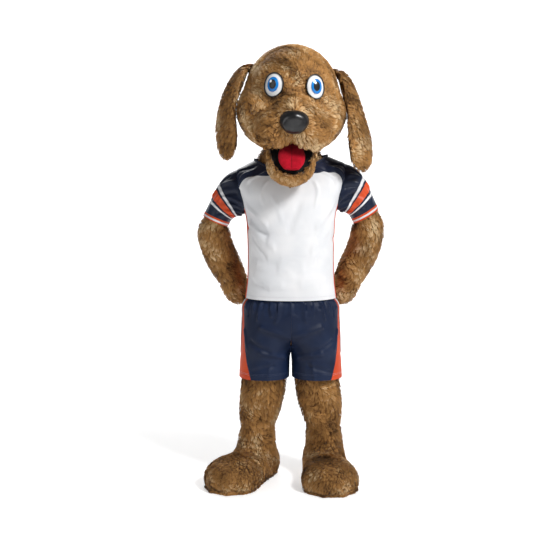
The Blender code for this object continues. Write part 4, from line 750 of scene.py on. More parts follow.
def hard(name, colour, shade, roughness, coat):
    looks = Looks(name, roughness, 0.0, coat)
    looks.shader.inputs["Coat Roughness"].default_value = 0.08
    looks.bump(looks.noise(240.0, 2.0), 0.06, 0.0006)
    return looks.uneven(30.0, 2.0, shade, colour)


def thread_looks(name, colour, shade):
    looks = Looks(name, 0.6, 0.2)
    looks.bump(looks.noise(900.0, 2.0), 0.5, 0.0002)
    return looks.uneven(300.0, 1.0, shade, colour)


# Bands of the sleeves and cuffs, by metres down from the armhole, as a share of one metre.
SLEEVE_BANDS = (
    (0.0, NAVY),
    (0.066, WHITE),
    (0.077, NAVY),
    (0.083, ORANGE),
    (0.113, NAVY),
    (0.119, WHITE),
    (0.126, NAVY),
)
CUFF_BANDS = ((0.0, ORANGE), (0.0075, WHITE), (0.0125, ORANGE))

MATERIALS = {
    "white": knit_cloth("white_knit", WHITE, (0.68, 0.69, 0.71), 0.62, 0.03),
    "navy": knit_cloth("navy_satin", (0.011, 0.017, 0.042), NAVY, 0.38, 0.08, SATIN_TINT),
    "shorts": knit_cloth(
        "navy_shorts_cloth", (0.004, 0.013, 0.045), (0.002, 0.008, 0.031), 0.55, 0.02, SATIN_TINT
    ),
    "orange": knit_cloth("orange_cloth", ORANGE, (0.52, 0.05, 0.010), 0.6, 0.03),
    "sleeve": banded_cloth("navy_banded", SLEEVE_BANDS, 0.40, 0.12),
    "cuff": banded_cloth("orange_rib", CUFF_BANDS, 0.6, 0.04, True),
    "collar": banded_cloth("navy_rib", ((0.0, NAVY), (0.5, NAVY)), 0.5, 0.12, True),
    "backing": fur_skin_looks(),
    "pile": fur_pile_looks(),
    "ear": felt("ear_lining_cloth", (0.20, 0.095, 0.045), (0.13, 0.06, 0.028)),
    "nose": hard("nose_gloss", (0.010, 0.010, 0.011), (0.006, 0.006, 0.007), 0.34, 0.08),
    "eye": hard("eye_gloss", (0.86, 0.86, 0.86), (0.80, 0.80, 0.81), 0.2, 0.7),
    "iris": hard("iris_gloss", (0.010, 0.25, 0.72), (0.008, 0.17, 0.55), 0.2, 0.7),
    "black": hard("black_gloss", (0.006, 0.006, 0.007), (0.004, 0.004, 0.005), 0.4, 0.1),
    "mouth": felt("black_felt", (0.014, 0.013, 0.013), (0.008, 0.008, 0.008)),
    "tongue": felt("red_felt", (0.42, 0.004, 0.018), (0.32, 0.003, 0.012)),
    "dark_red": felt("dark_red_felt", (0.16, 0.004, 0.010), (0.10, 0.003, 0.006)),
    "white_thread": thread_looks("white_thread", (0.66, 0.66, 0.68), (0.52, 0.52, 0.55)),
    "navy_thread": thread_looks("navy_thread", (0.05, 0.07, 0.14), (0.03, 0.045, 0.10)),
}


# Meshes.


def mesh_object(name, verts, faces, looks, parent=None):
    mesh = bpy.data.meshes.new(name)
    mesh.from_pydata([tuple(v) for v in verts], [], [tuple(int(i) for i in f) for f in faces])
    mesh.update()
    mesh.shade_smooth()
    mesh.materials.append(MATERIALS[looks])
    obj = bpy.data.objects.new(name, mesh)
    bpy.context.scene.collection.objects.link(obj)
    if parent is None:
        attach(obj, "root")
    else:
        obj.parent = parent
    return obj


def grid_normals(grid, centre, closed):
    down = np.gradient(grid, axis=0)
    if closed:
        across = np.roll(grid, -1, axis=1) - np.roll(grid, 1, axis=1)
    else:
        across = np.gradient(grid, axis=1)
    normals = unit(np.cross(down, across))
    return normals * (1.0 if (normals * (grid - centre)).sum() > 0 else -1.0)


def drawn_in(grid, closed):
    """The edges drawn in by half a seam gap."""

    def step(edge, within):
        return edge + unit(within - edge) * SEAM_GAP / 2

    moved = grid.copy()
    moved[0] = step(grid[0], grid[1])
    moved[-1] = step(grid[-1], grid[-2])
    if not closed:
        moved[:, 0] = step(grid[:, 0], grid[:, 1])
        moved[:, -1] = step(grid[:, -1], grid[:, -2])
    return moved


def shell(name, grid, centre, wall, looks, closed=False, parent=None):
    """A thin closed piece of cloth on a grid of points, with its cut laid out as UVs in metres."""
    grid = drawn_in(hung(grid), closed)
    centre = hung(centre)
    rows, cols = grid.shape[:2]
    normals = grid_normals(grid, centre, closed)
    verts = np.concatenate([grid.reshape(-1, 3), (grid - wall * normals).reshape(-1, 3)])
    spans = cols if closed else cols - 1
    i, j = np.meshgrid(np.arange(rows - 1), np.arange(spans), indexing="ij")
    k = (j + 1) % cols
    quads = np.stack([i * cols + j, (i + 1) * cols + j, (i + 1) * cols + k, i * cols + k], axis=-1)
    steps = ((0, 0), (1, 0), (1, 1), (0, 1))
    places = np.stack([np.stack([i + di, j + dj], axis=-1) for di, dj in steps], axis=-2)
    under = rows * cols
    a, b, c, d = (quads[..., n] for n in range(4))
    pa, pb, pc, pd = (places[..., n, :] for n in range(4))
    faces = [quads.reshape(-1, 4), quads[..., ::-1].reshape(-1, 4) + under]
    spots = [places.reshape(-1, 4, 2), places[..., ::-1, :].reshape(-1, 4, 2)]

    def rim(first, second, at_first, at_second):
        faces.append(np.stack([first, second, second + under, first + under], axis=-1))
        spots.append(np.stack([at_first, at_second, at_second, at_first], axis=-2))

    rim(a[0], d[0], pa[0], pd[0])
    rim(c[-1], b[-1], pc[-1], pb[-1])
    if not closed:
        rim(b[:, 0], a[:, 0], pb[:, 0], pa[:, 0])
        rim(d[:, -1], c[:, -1], pd[:, -1], pc[:, -1])
    faces = np.concatenate(faces)
    spots = np.concatenate(spots).reshape(-1, 2)
    corners = verts[faces]
    volume = (corners[:, 0] * np.cross(corners[:, 1], corners[:, 2])).sum()
    volume += (corners[:, 0] * np.cross(corners[:, 2], corners[:, 3])).sum()
    looped = np.concatenate([grid, grid[:, :1]], axis=1) if closed else grid
    widths = np.linalg.norm(np.diff(looped, axis=1), axis=-1).mean(axis=0)
    lengths = np.linalg.norm(np.diff(grid, axis=0), axis=-1).mean(axis=1)
    across = np.append(0, np.cumsum(widths))
    down = np.append(0, np.cumsum(lengths))
    uvs = np.stack([across[spots[:, 1]], down[spots[:, 0]]], axis=-1)
    if volume < 0:
        faces = faces[:, ::-1]
        uvs = uvs.reshape(-1, 4, 2)[:, ::-1].reshape(-1, 2)
    obj = mesh_object(name, verts, faces, looks, parent)
    layer = obj.data.uv_layers.new(name="cut")
    layer.data.foreach_set("uv", uvs.astype(np.float32).ravel())
    obj.data.set_sharp_from_angle(angle=math.radians(60))
    obj["flat"] = (float(across[-1]), float(down[-1]))
    return obj


def read(items, name, width, kind=np.float32):
    """A property of all a mesh's items as rows of numbers."""
    values = np.zeros(len(items) * width, kind)
    items.foreach_get(name, values)
    return values.reshape(-1, width)


def measured_area(obj):
    """Half the area of a closed thin piece, which is the area of its cloth."""
    return float(read(obj.data.polygons, "area", 1).sum()) / 2


def declare_cloth(obj, node):
    area = measured_area(obj)
    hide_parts(node)


def within(grid, across=0.0, lower=0.0):
    """Points on an upright line inside a piece, one for each of its points."""
    inside = np.zeros_like(grid)
    inside[..., 0] = across
    inside[..., 2] = grid[..., 2] - lower
    return inside


def trunk_centre(grid):
    return within(grid, lower=0.08)


def band(low, high, rows, bulge, outward):
    """A grid from one ring to another, which bulges out between them."""
    share = np.linspace(0, 1, rows + 1)[:, None, None]
    grid = low * (1 - share) + high * share
    return grid + bulge * np.sin(np.pi * share) * unit(outward(grid))


def from_axis(grid):
    return grid * (1, 1, 0)


def from_ring_middle(grid):
    return grid - grid.mean(axis=1, keepdims=True)


def make_jersey():
    for name, back in (("jersey_front", False), ("jersey_back", True)):
        grid = on_trunk(jersey_panel(back))
        obj = shell(f"{name}_cloth", grid, trunk_centre(grid), JERSEY_WALL, "white")
        declare_cloth(obj, name)
    for side, sign in SIDES.items():
        for kind, places, looks, slot in (
            ("jersey_side", side_panel(), "orange", "orange_trim"),
            ("yoke", yoke_panel(), "navy", "navy_jersey"),
        ):
            grid = on_trunk(places, sign)
            obj = shell(f"{kind}_{side}_cloth", grid, trunk_centre(grid), JERSEY_WALL, looks)
            declare_cloth(obj, f"{kind}_{side}")
        turns = np.arange(SLEEVE_COLUMNS) * 360 / SLEEVE_COLUMNS
        downs = np.linspace(0, 1, SLEEVE_ROWS + 1)
        grid = sleeve(turns[None], downs[:, None], sign)
        centre = grid.mean(axis=1, keepdims=True)
        obj = shell(f"sleeve_{side}_cloth", grid, centre, JERSEY_WALL, "sleeve", closed=True)
        declare_cloth(obj, f"sleeve_{side}")
        low = on_side(CUFF_CENTRE + cuff_ring(turns, CUFF_DRAW), sign)
        grid = band(grid[-1], low, 8, BAND_BULGE, from_ring_middle)
        centre = grid.mean(axis=1, keepdims=True)
        obj = shell(f"cuff_{side}_cloth", grid, centre, JERSEY_WALL, "cuff", closed=True)
        declare_cloth(obj, f"cuff_{side}")
    make_side_edges()
    make_collar()


EDGE_STEPS = 4  # fine steps of orange that the side panels show on the front and back
EDGE_OUT = 0.0007
EDGE_WALL = 0.0006


def make_side_edges():
    """The orange of the side panels where it wraps onto the front and back."""
    for name, back in (("jersey_front", False), ("jersey_back", True)):
        places = jersey_panel(back)[: SEAM_STEPS * FINE + 1]
        for n, columns in enumerate((places[:, : EDGE_STEPS + 1], places[:, -EDGE_STEPS - 1 :])):
            grid = on_trunk(columns, out=EDGE_OUT)
            cloth = bpy.data.objects[f"{name}_cloth"]
            obj = shell(
                f"{name}_orange_edge_{n}", grid, trunk_centre(grid), EDGE_WALL, "orange", parent=cloth
            )


COLLAR_HEIGHT = 0.010
COLLAR_DRAW = 0.985
COLLAR_BULGE = 0.001
COLLAR_COLUMNS = 120


def make_collar():
    turns = np.arange(COLLAR_COLUMNS) * 360 / COLLAR_COLUMNS
    low = trunk(turns, np.ones_like(turns))
    high = low * (COLLAR_DRAW, COLLAR_DRAW, 1) + (0, 0, COLLAR_HEIGHT)
    grid = band(low, high, 6, COLLAR_BULGE, from_axis)
    obj = shell("collar_cloth", grid, within(grid), JERSEY_WALL, "collar", closed=True)
    declare_cloth(obj, "collar")


def leg_centre(grid, sign):
    return within(grid, sign * 0.09)


def make_shorts():
    drops = np.linspace(0, 1, SHORTS_ROWS + 1)
    edge = middle_angle(drops)
    orange = smooth(STRIP, "drop", drops, "orange")
    front = spread(orange, edge, SHORTS_COLUMNS, drops)
    strip = spread(orange, -orange, STRIP_COLUMNS, drops)
    for side, sign in SIDES.items():
        for name, angles, looks, slot in (
            ("shorts_front", front, "shorts", "navy_shorts"),
            ("shorts_back", -front, "shorts", "navy_shorts"),
            ("shorts_side", strip, "orange", "orange_trim"),
        ):
            grid = shorts_point(angles, drops[:, None], sign)
            obj = shell(f"{name}_{side}_cloth", grid, leg_centre(grid, sign), JERSEY_WALL, looks)
            declare_cloth(obj, f"{name}_{side}")
        low = np.linspace(GUSSET_START, GUSSET_END, GUSSET_ROWS + 1)
        white = smooth(STRIP, "drop", low, "white")
        angles = spread(white, -white, GUSSET_COLUMNS, low)
        grid = shorts_point(angles, low[:, None], sign, GUSSET_UNDER + GUSSET_WALL)
        obj = shell(f"gusset_{side}_cloth", grid, leg_centre(grid, sign), GUSSET_WALL, "white")
        declare_cloth(obj, f"gusset_{side}")
    make_waistband(front[0], strip[0])


def make_waistband(front, strip):
    side = np.concatenate([front[::-1], strip[1:], -front[1:]])
    right = shorts_point(side, 0.0, 1.0)
    left = (right * (-1, 1, 1))[::-1]
    low = np.concatenate([right, left[1:-1]])
    high = low * (WAISTBAND_DRAW, WAISTBAND_DRAW, 1)
    high[:, 2] = WAISTBAND_TOP
    rise = np.sin(np.pi * np.linspace(0, 1, WAISTBAND_ROWS + 1))[:, None, None]
    ripple = np.sin(np.arange(len(low)) * GATHER_TURN)[None, :, None] * rise
    grid = band(low, high, WAISTBAND_ROWS, BAND_BULGE * (ripple - 1), from_axis)
    obj = shell("waistband_cloth", grid, within(grid), WAISTBAND_WALL, "shorts", closed=True)
    declare_cloth(obj, "waistband")


# Stitches.

STITCH_LENGTH = 0.0030
STITCH_GAP = 0.0012
STITCH_RADIUS = 0.00045


def stitches(name, path, looks, parent):
    """A row of sewn stitches along points that lie on the cloth."""
    path = hung(path)
    run = np.append(0, np.cumsum(np.linalg.norm(np.diff(path, axis=0), axis=-1)))
    starts = np.arange(0, run[-1] - STITCH_LENGTH, STITCH_LENGTH + STITCH_GAP)

    def at(place):
        return np.stack([np.interp(place, run, path[:, n]) for n in range(3)], axis=-1)

    heads, tails = at(starts), at(starts + STITCH_LENGTH)
    aim = unit(tails - heads)
    side = unit(np.cross(aim, (0.31, 0.17, 0.93)))
    other = np.cross(aim, side)
    ring = []
    for spot, size in ((heads, 0.45), (heads * 0.5 + tails * 0.5, 1.0), (tails, 0.45)):
        for turn in (0.0, 0.5, 1.0, 1.5):
            around = side * math.cos(turn * math.pi) + other * math.sin(turn * math.pi)
            ring.append(spot + around * STITCH_RADIUS * size)
    verts = np.stack(ring, axis=1).reshape(-1, 3)
    faces = [(3, 2, 1, 0), (8, 9, 10, 11)]
    for level in (0, 4):
        for n in range(4):
            m = (n + 1) % 4
            faces.append((level + n, level + m, level + 4 + m, level + 4 + n))
    faces = (np.array(faces)[None] + 12 * np.arange(len(starts))[:, None, None]).reshape(-1, 4)
    obj = mesh_object(name, verts, faces, looks, parent)
    return obj


ON_CLOTH = 0.0003


def make_stitching():
    cloth = {name: bpy.data.objects[f"{name}_cloth"] for name in CLOTH_NODES}
    around = np.linspace(-7, -173, 400)
    for n, along in enumerate((0.026, 0.030)):
        for name, angles in (("jersey_front", around), ("jersey_back", -around)):
            path = trunk(angles, np.full_like(angles, along), ON_CLOTH)
            stitches(f"{name}_hem_stitch_{n}", path, "white_thread", cloth[name])
    for side, sign in SIDES.items():
        for n, edge_out in enumerate((1.5, 2.4)):
            places = seam_places(YOKE_SEAM, 0, YOKE_STEPS) + (edge_out * 0.55, 0.004)
            for part, turn in (("front", 1), ("back", -1)):
                path = on_trunk(places * (turn, 1), sign, ON_CLOTH)
                name = f"yoke_{side}_{part}_stitch_{n}"
                stitches(name, path, "navy_thread", cloth[f"yoke_{side}"])
        for n, drop in enumerate((0.925, 0.940)):
            drops = np.full(260, drop)
            orange = float(smooth(STRIP, "drop", drop, "orange"))
            edge = float(middle_angle(drop))
            for name, start, end in (
                ("shorts_front", orange + 1, edge - 1),
                ("shorts_back", -orange - 1, -edge + 1),
                ("shorts_side", orange - 1, -orange + 1),
            ):
                looks = "white_thread" if name == "shorts_side" else "navy_thread"
                path = shorts_point(np.linspace(start, end, 260), drops, sign, ON_CLOTH)
                full = f"{name}_{side}"
                stitches(f"{full}_hem_stitch_{n}", path, looks, cloth[full])
        drops = np.linspace(0.02, 0.99, 300)
        for part, turn in (("front", 1), ("back", -1)):
            angles = turn * (smooth(STRIP, "drop", drops, "orange") + 1.6)
            path = shorts_point(angles, drops, sign, ON_CLOTH)
            full = f"shorts_{part}_{side}"
            stitches(f"{full}_side_stitch", path, "navy_thread", cloth[full])


# Fur: rounded copies of the solids, with tufts combed over what shows.


def tree_of(names):
    verts, faces = [], []
    for name in names:
        mesh = NODES[name].data
        start = len(verts)
        verts += [v.co.copy() for v in mesh.vertices]
        faces += [tuple(start + i for i in p.vertices) for p in mesh.polygons]
    return BVHTree.FromPolygons(verts, faces)


def rounded(name, looks, suffix, levels=1):
    """A smoother copy of a solid with its edges kept."""
    bm = bmesh.new()
    bm.from_mesh(NODES[name].data)
    bmesh.ops.remove_doubles(bm, verts=bm.verts, dist=2e-5)
    limit = math.radians(50)
    bmesh.ops.join_triangles(
        bm, faces=bm.faces, angle_face_threshold=limit, angle_shape_threshold=math.radians(70)
    )
    crease = bm.edges.layers.float.new("crease_edge")
    for edge in bm.edges:
        if len(edge.link_faces) == 2 and edge.calc_face_angle() > limit:
            edge[crease] = 1.0
    mesh = bpy.data.meshes.new(name + suffix)
    bm.to_mesh(mesh)
    bm.free()
    obj = bpy.data.objects.new(name + suffix, mesh)
    bpy.context.scene.collection.objects.link(obj)
    step = obj.modifiers.new("round", "SUBSURF")
    step.levels = step.render_levels = levels
    bpy.context.view_layer.update()
    made = bpy.data.meshes.new_from_object(obj.evaluated_get(bpy.context.evaluated_depsgraph_get()))
    obj.modifiers.clear()
    obj.data = made
    made.name = name + suffix
    made.shade_smooth()
    made.set_sharp_from_angle(angle=math.radians(60))
    made.materials.clear()
    made.materials.append(MATERIALS[looks])
    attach(obj, "root")
    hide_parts(name)
    return obj


RNG = np.random.default_rng(29)
SWIRLS = RNG.normal(size=(7, 3)) * 55.0
SWIRL_TURNS = RNG.uniform(0, 2 * math.pi, (7, 3))
SWIRL_AMOUNT = 0.24
LOOK_OUT = 0.5
COVER = 0.03
CLEAR_OF_SOLID = 0.007  # the rounded skins lie up to this far inside their solids
OFF_FLOOR = 0.004
PILE_DEPTH = 0.003
HOLLOW_CURVE = 8.0  # half the curvature, for each metre, at which a hollow gets its darkest painted shade
SEAM_REACH = 0.010


def swirl(xyz):
    waves = np.sin((xyz @ SWIRLS.T)[..., None] + SWIRL_TURNS)
    return waves.sum(axis=-2) * SWIRL_AMOUNT


def showing(centres, normals, group, cloth):
    """Which faces look out of the costume, and aren't under its cloth."""
    keep = np.zeros(len(centres), bool)
    for n, (spot, normal) in enumerate(zip(centres, normals)):
        aim = Vector(normal)
        if group.ray_cast(Vector(spot + normal * CLEAR_OF_SOLID), aim, LOOK_OUT)[0] is None:
            keep[n] = cloth.ray_cast(Vector(spot), aim, COVER)[0] is None
    return keep


def triangles_of(mesh):
    mesh.calc_loop_triangles()
    tris = read(mesh.loop_triangles, "vertices", 3, np.int32)
    verts, normals = (read(mesh.vertices, name, 3).astype(float) for name in ("co", "normal"))
    return tris, verts, normals


def hollows(mesh, verts, normals):
    """How far each point of a mesh lies in a hollow, from 0 to 1."""
    edges = read(mesh.edges, "vertices", 2, np.int32)
    total = np.zeros(len(verts))
    count = np.full(len(verts), 1e-9)
    for here, there in (edges.T, edges[:, ::-1].T):
        run = verts[there] - verts[here]
        rise = (run * normals[here]).sum(-1) / np.maximum((run**2).sum(-1), 1e-9)
        np.add.at(total, here, rise)
        np.add.at(count, here, 1)
    return np.clip(total / count / HOLLOW_CURVE, 0, 1)


def draw_in(skin, tris, cross):
    """Draws what shows of a skin in under its pile, so that no seam shows between the tufts."""
    inward = np.zeros((len(skin.data.vertices), 3))
    for corner in range(3):
        np.add.at(inward, tris[:, corner], cross)
    verts = read(skin.data.vertices, "co", 3, float) - unit(inward) * PILE_DEPTH
    verts[:, 2] = np.maximum(verts[:, 2], FLOOR)
    skin.data.vertices.foreach_set("co", verts.astype(np.float32).ravel())
    skin.data.update()


def tree_of_spots(spots):
    tree = KDTree(len(spots))
    for n, spot in enumerate(spots):
        tree.insert(spot, n)
    tree.balance()
    return tree


def near_edges(tris, verts, roots):
    """How near each root is to an edge of its panel, from 0 to 1."""
    edges = np.sort(np.concatenate([tris[:, [0, 1]], tris[:, [1, 2]], tris[:, [2, 0]]]), axis=1)
    edges, count = np.unique(edges, axis=0, return_counts=True)
    ends = verts[edges[count == 1]]
    share = np.linspace(0, 1, 4)[None, :, None]
    spots = (ends[:, :1] + (ends[:, 1:] - ends[:, :1]) * share).reshape(-1, 3)
    tree = tree_of_spots(spots)
    away = np.array([tree.find(spot)[2] for spot in roots])
    return 1 - ease(away / SEAM_REACH)


TUFTS_PER_SQUARE_METRE = 94000
LOCK_SHARE = 0.06  # locks for each tuft
BLADE_HALF_WIDTH = (0.0008, 0.0015)
BLADE_MIDDLE = 0.5
MIDDLE_WIDTH = 0.8  # of the width at the root
MIDDLE_RISE = 0.22
TIP_RISE = 0.75
TUFT_LENGTHS = (0.65, 1.15)
TUFT_LIFTS = (0.6, 1.3)
HOLLOW_SHORTER = 0.55
# painted shade: how much darker the tufts are made in hollows and at seams
HOLLOW_PAINTED_SHADE = 0.7
LOCK_TONES = 0.32
GATHERED = (0.3, 0.65)  # how far the tips go over to the middle of their lock
STRAY = 0.10
ROUNDED_NORMALS = 0.6
TURNED_BLADES = 0.35
ROOT_DEPTH = 0.0035
BARE_SIZE = 0.055  # round the eyes the pile is clipped this far out
CLIPPED = 0.35
BLADE_FACES = np.array([(0, 1, 2), (0, 2, 3), (3, 2, 4)])
BLADE_ALONG = (0, 0, 0.55, 0.55, 1.0)


def tufts(skin, flow, group, cloth, length, lift, density, seam):
    """Tapered, bent tufts over what shows of a skin, gathered into locks, parted at its seams and
    darkened with painted shade in its hollows and at its seams.
    """
    tris, verts, vert_normals = triangles_of(skin.data)
    hollow = hollows(skin.data, verts, vert_normals)
    corners = verts[tris]
    cross = np.cross(corners[:, 1] - corners[:, 0], corners[:, 2] - corners[:, 0])
    keep = showing(corners.mean(axis=1), unit(cross), group, cloth)
    keep &= corners[..., 2].max(axis=1) > FLOOR + OFF_FLOOR
    if not keep.any():
        return
    tris, corners, cross = tris[keep], corners[keep], cross[keep]
    draw_in(skin, tris, cross)
    face_normals = unit(cross)
    areas = np.linalg.norm(cross, axis=-1) / 2
    count = int(areas.sum() * TUFTS_PER_SQUARE_METRE * density)
    pick = RNG.choice(len(areas), count, p=areas / areas.sum())
    a, b = RNG.random((2, count))
    flip = a + b > 1
    a[flip], b[flip] = 1 - a[flip], 1 - b[flip]
    weights = np.stack([1 - a - b, a, b], axis=-1)[..., None]
    roots = (corners[pick] * weights).sum(axis=1)
    in_hollow = (hollow[tris[pick]] * weights[..., 0]).sum(axis=1)
    if seam:
        in_hollow = np.maximum(in_hollow, near_edges(tris, verts, roots) * seam)
    smoothed = (vert_normals[tris[pick]] * weights).sum(axis=1)
    normals = unit(smoothed * ROUNDED_NORMALS + face_normals[pick] * (1 - ROUNDED_NORMALS))
    lay = unit(flow(roots)) + swirl(roots) + RNG.normal(size=(count, 3)) * STRAY
    lay = unit(lay - (lay * normals).sum(-1, keepdims=True) * normals)
    lengths = length * clipped(roots) * (1 - HOLLOW_SHORTER * in_hollow)
    lengths = (lengths * RNG.uniform(*TUFT_LENGTHS, count))[:, None]
    rise = lift * RNG.uniform(*TUFT_LIFTS, count)[:, None]
    tips = roots + lengths * unit(lay + normals * rise * TIP_RISE)
    locks = max(1, int(count * LOCK_SHARE))
    middle_of = RNG.choice(count, locks, replace=False)
    tree = tree_of_spots(roots[middle_of])
    nearest = np.array([tree.find(spot)[1] for spot in roots])
    heads = tips[middle_of][nearest]
    tips = tips + (heads - tips) * RNG.uniform(*GATHERED, count)[:, None]
    run = tips - roots
    middles = roots + run * BLADE_MIDDLE + normals * lengths * rise * MIDDLE_RISE
    aim = unit(run)
    side = unit(np.cross(aim, normals))
    side = unit(side + normals * RNG.normal(size=(count, 1)) * TURNED_BLADES)
    wide = side * RNG.uniform(*BLADE_HALF_WIDTH, count)[:, None]
    narrow = wide * MIDDLE_WIDTH
    roots = roots - normals * ROOT_DEPTH
    blades = np.stack([roots - wide, roots + wide, middles + narrow, middles - narrow, tips], axis=1)
    blades[..., 2] = np.maximum(blades[..., 2], FLOOR + OFF_FLOOR / 4)
    made = BLADE_FACES[None] + 5 * np.arange(count)[:, None, None]
    shading = unit(normals + swirl(roots) * 0.5 + RNG.normal(size=(count, 3)) * 0.25 + aim * 0.15)
    # painted shade: tufts in hollows and near seams are made darker, for the shade that falls there
    tone_and_shade = 0.5 + LOCK_TONES * (RNG.random(locks)[nearest] - 0.5) - HOLLOW_PAINTED_SHADE * in_hollow
    pile = np.ones((count, 5, 4), np.float32)
    pile[..., 0] = BLADE_ALONG
    pile[..., 1] = np.clip(tone_and_shade, 0, 1)[:, None]
    pile[..., 2] = RNG.random(count)[:, None]
    mesh = bpy.data.meshes.new(skin.name + "_tufts")
    mesh.vertices.add(count * 5)
    mesh.vertices.foreach_set("co", blades.astype(np.float32).ravel())
    mesh.loops.add(count * 9)
    mesh.loops.foreach_set("vertex_index", made.astype(np.int32).ravel())
    mesh.polygons.add(count * 3)
    mesh.polygons.foreach_set("loop_start", np.arange(0, count * 9, 3, dtype=np.int32))
    mesh.update(calc_edges=True)
    layer = mesh.color_attributes.new("pile", "BYTE_COLOR", "POINT")
    layer.data.foreach_set("color", pile.ravel())
    mesh.shade_smooth()
    mesh.normals_split_custom_set_from_vertices(np.repeat(shading, 5, axis=0).tolist())
    mesh.materials.append(MATERIALS["pile"])
    obj = bpy.data.objects.new(skin.name + "_tufts", mesh)
    bpy.context.scene.collection.objects.link(obj)
    obj.parent = skin


NOSE = HEAD_MIDDLE + HEAD_TURN @ np.array((0.0, -0.30, -0.05))
EYE_AIM = (20.5, 21.5)
EYE_REACH = 0.225


def head_aim(angle, lat):
    a = math.radians(angle)
    b = math.radians(lat)
    return np.array((math.sin(b), -math.cos(b) * math.cos(a), math.cos(b) * math.sin(a)))


def eye_aim(sign):
    return HEAD_TURN @ (head_aim(*EYE_AIM) * (sign, 1, 1))


def clipped(xyz):
    """How long the pile is at each place: clipped short round the eyes."""
    share = np.ones(len(xyz))
    for sign in SIDES.values():
        away = np.linalg.norm(xyz - (HEAD_MIDDLE + eye_aim(sign) * EYE_REACH), axis=-1)
        share = np.minimum(share, CLIPPED + (1 - CLIPPED) * ease((away - BARE_SIZE) / BARE_SIZE))
    return share


def flow_of_head(xyz):
    return unit(xyz - NOSE) * (1, 1, 0.7) + (0, 0.1, -0.55)


def flow_down(xyz):
    return np.zeros_like(xyz) + (0, 0, -1.0)


def flow_of_arm(sign):
    """Down the arm, which turns inward below the elbow."""

    def flow(xyz):
        turn = ease((-0.30 - xyz[:, 2]) / 0.25)
        out = sign * (0.25 * (1 - turn) - 0.75 * turn)
        return points(out, 0.15 * turn, 0.2 * turn - 1.0)

    return flow


def flow_of_foot(side):
    ankle = hung(np.array(FOOT_ANKLES[side]))

    def flow(xyz):
        return unit(xyz - ankle) + (0, -0.2, -0.35)

    return flow


# How long the pile is, how far it stands off, how dense it is and how it parts at seams, where painted
# shade also darkens it.
PILE = {
    "head": (0.0160, 0.55, 1.0, 0.0),
    "ear": (0.0180, 0.55, 0.9, 0.0),
    "neck": (0.0180, 0.60, 0.8, 0.0),
    "arm": (0.0180, 0.60, 1.0, 0.2),
    "leg": (0.0185, 0.60, 0.95, 0.3),
    "foot": (0.0140, 0.55, 1.1, 0.9),
}
PADDED_KINDS = ("head", "ear", "foot")


def make_fur():
    covers = {
        "leg": tree_of(CLOTH_NODES + pairs("foot_upper")),
        "neck": tree_of(CLOTH_NODES + ["jaw"]),
    }
    cloth = tree_of(CLOTH_NODES)
    flows = {"head": flow_of_head}
    for side, sign in SIDES.items():
        flows[f"arm_{side}"] = flow_of_arm(sign)
        flows[f"foot_{side}"] = flow_of_foot(side)
    for group, names in FUR_NODES.items():
        tree = tree_of(names + (pairs("ear_lining") if group == "head" else []))
        kind = group.split("_")[0]
        for name in names:
            skin = rounded(name, "backing", "_fur")
            if kind in PILE:
                tufts(skin, flows.get(group, flow_down), tree, covers.get(kind, cloth), *PILE[kind])
            if kind in PADDED_KINDS:
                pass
            else:
                area = measured_area(skin)


# The face.

FACE_NODES = ["head_face", "muzzle_left", "muzzle_right"]
EYE_SIZE = (0.042, 0.046)
PUPIL_SIZE = (0.0150, 0.0175)
GLINT_SIZE = (0.0050, 0.0050)
GLINT_PLACE = (-0.0080, 0.0115)
RIM_RADIUS = 0.0026
RIM_STEPS = 64
RIM_OUT = 1.02  # times the size of the eye
DISC_COLUMNS = 40
TUBE_COLUMNS = 10


def cast(tree, aim):
    """The outermost point of some nodes along an aim from the head's middle."""
    far = 0.6
    hit = tree.ray_cast(Vector(HEAD_MIDDLE + aim * far), Vector(-aim), far)[3]
    return HEAD_MIDDLE + aim * (far - hit)


def ring_faces(rings, cols, closed=False):
    """The faces between rings of points, one ring after another."""
    faces = []
    for i in range(rings if closed else rings - 1):
        n = (i + 1) % rings
        for j in range(cols):
            k = (j + 1) % cols
            faces.append((i * cols + j, i * cols + k, n * cols + k, n * cols + j))
    return faces


def oval_on(tree, aim, size, place, turns, lift):
    """Points on the face round an aim from the head's middle, lifted off it."""
    side = unit(np.cross((0, 0, 1.0), aim))
    up = np.cross(aim, side)
    centre = cast(tree, aim)
    spots = []
    for turn in turns:
        across = place[0] + size[0] * math.cos(turn)
        rise = place[1] + size[1] * math.sin(turn)
        toward = unit(centre + side * across + up * rise - HEAD_MIDDLE)
        spots.append(cast(tree, toward) + toward * lift)
    return spots


def disc(name, tree, aim, size, place, lift, height, looks):
    """A small flat dome on the face, round an aim from the head's middle."""
    cols = DISC_COLUMNS
    turns = np.arange(cols) * 2 * math.pi / cols
    rings = []
    for share in np.linspace(1, 0.15, 8):
        full = lift + height * (1 - share**2) ** 0.5
        rings.append(oval_on(tree, aim, (size[0] * share, size[1] * share), place, turns, full))
    rings = np.array(rings)
    under = rings[0] - aim * (lift + 0.002)
    verts = np.concatenate([rings.reshape(-1, 3), [rings[-1].mean(axis=0)], under])
    faces = ring_faces(len(rings), cols)
    tip = len(rings) * cols
    for j in range(cols):
        k = (j + 1) % cols
        faces.append(((len(rings) - 1) * cols + j, (len(rings) - 1) * cols + k, tip))
        faces.append((tip + 1 + j, tip + 1 + k, k, j))
    faces.append(tuple(tip + cols - j for j in range(cols)))
    obj = mesh_object(name, verts, faces, looks)
    return obj


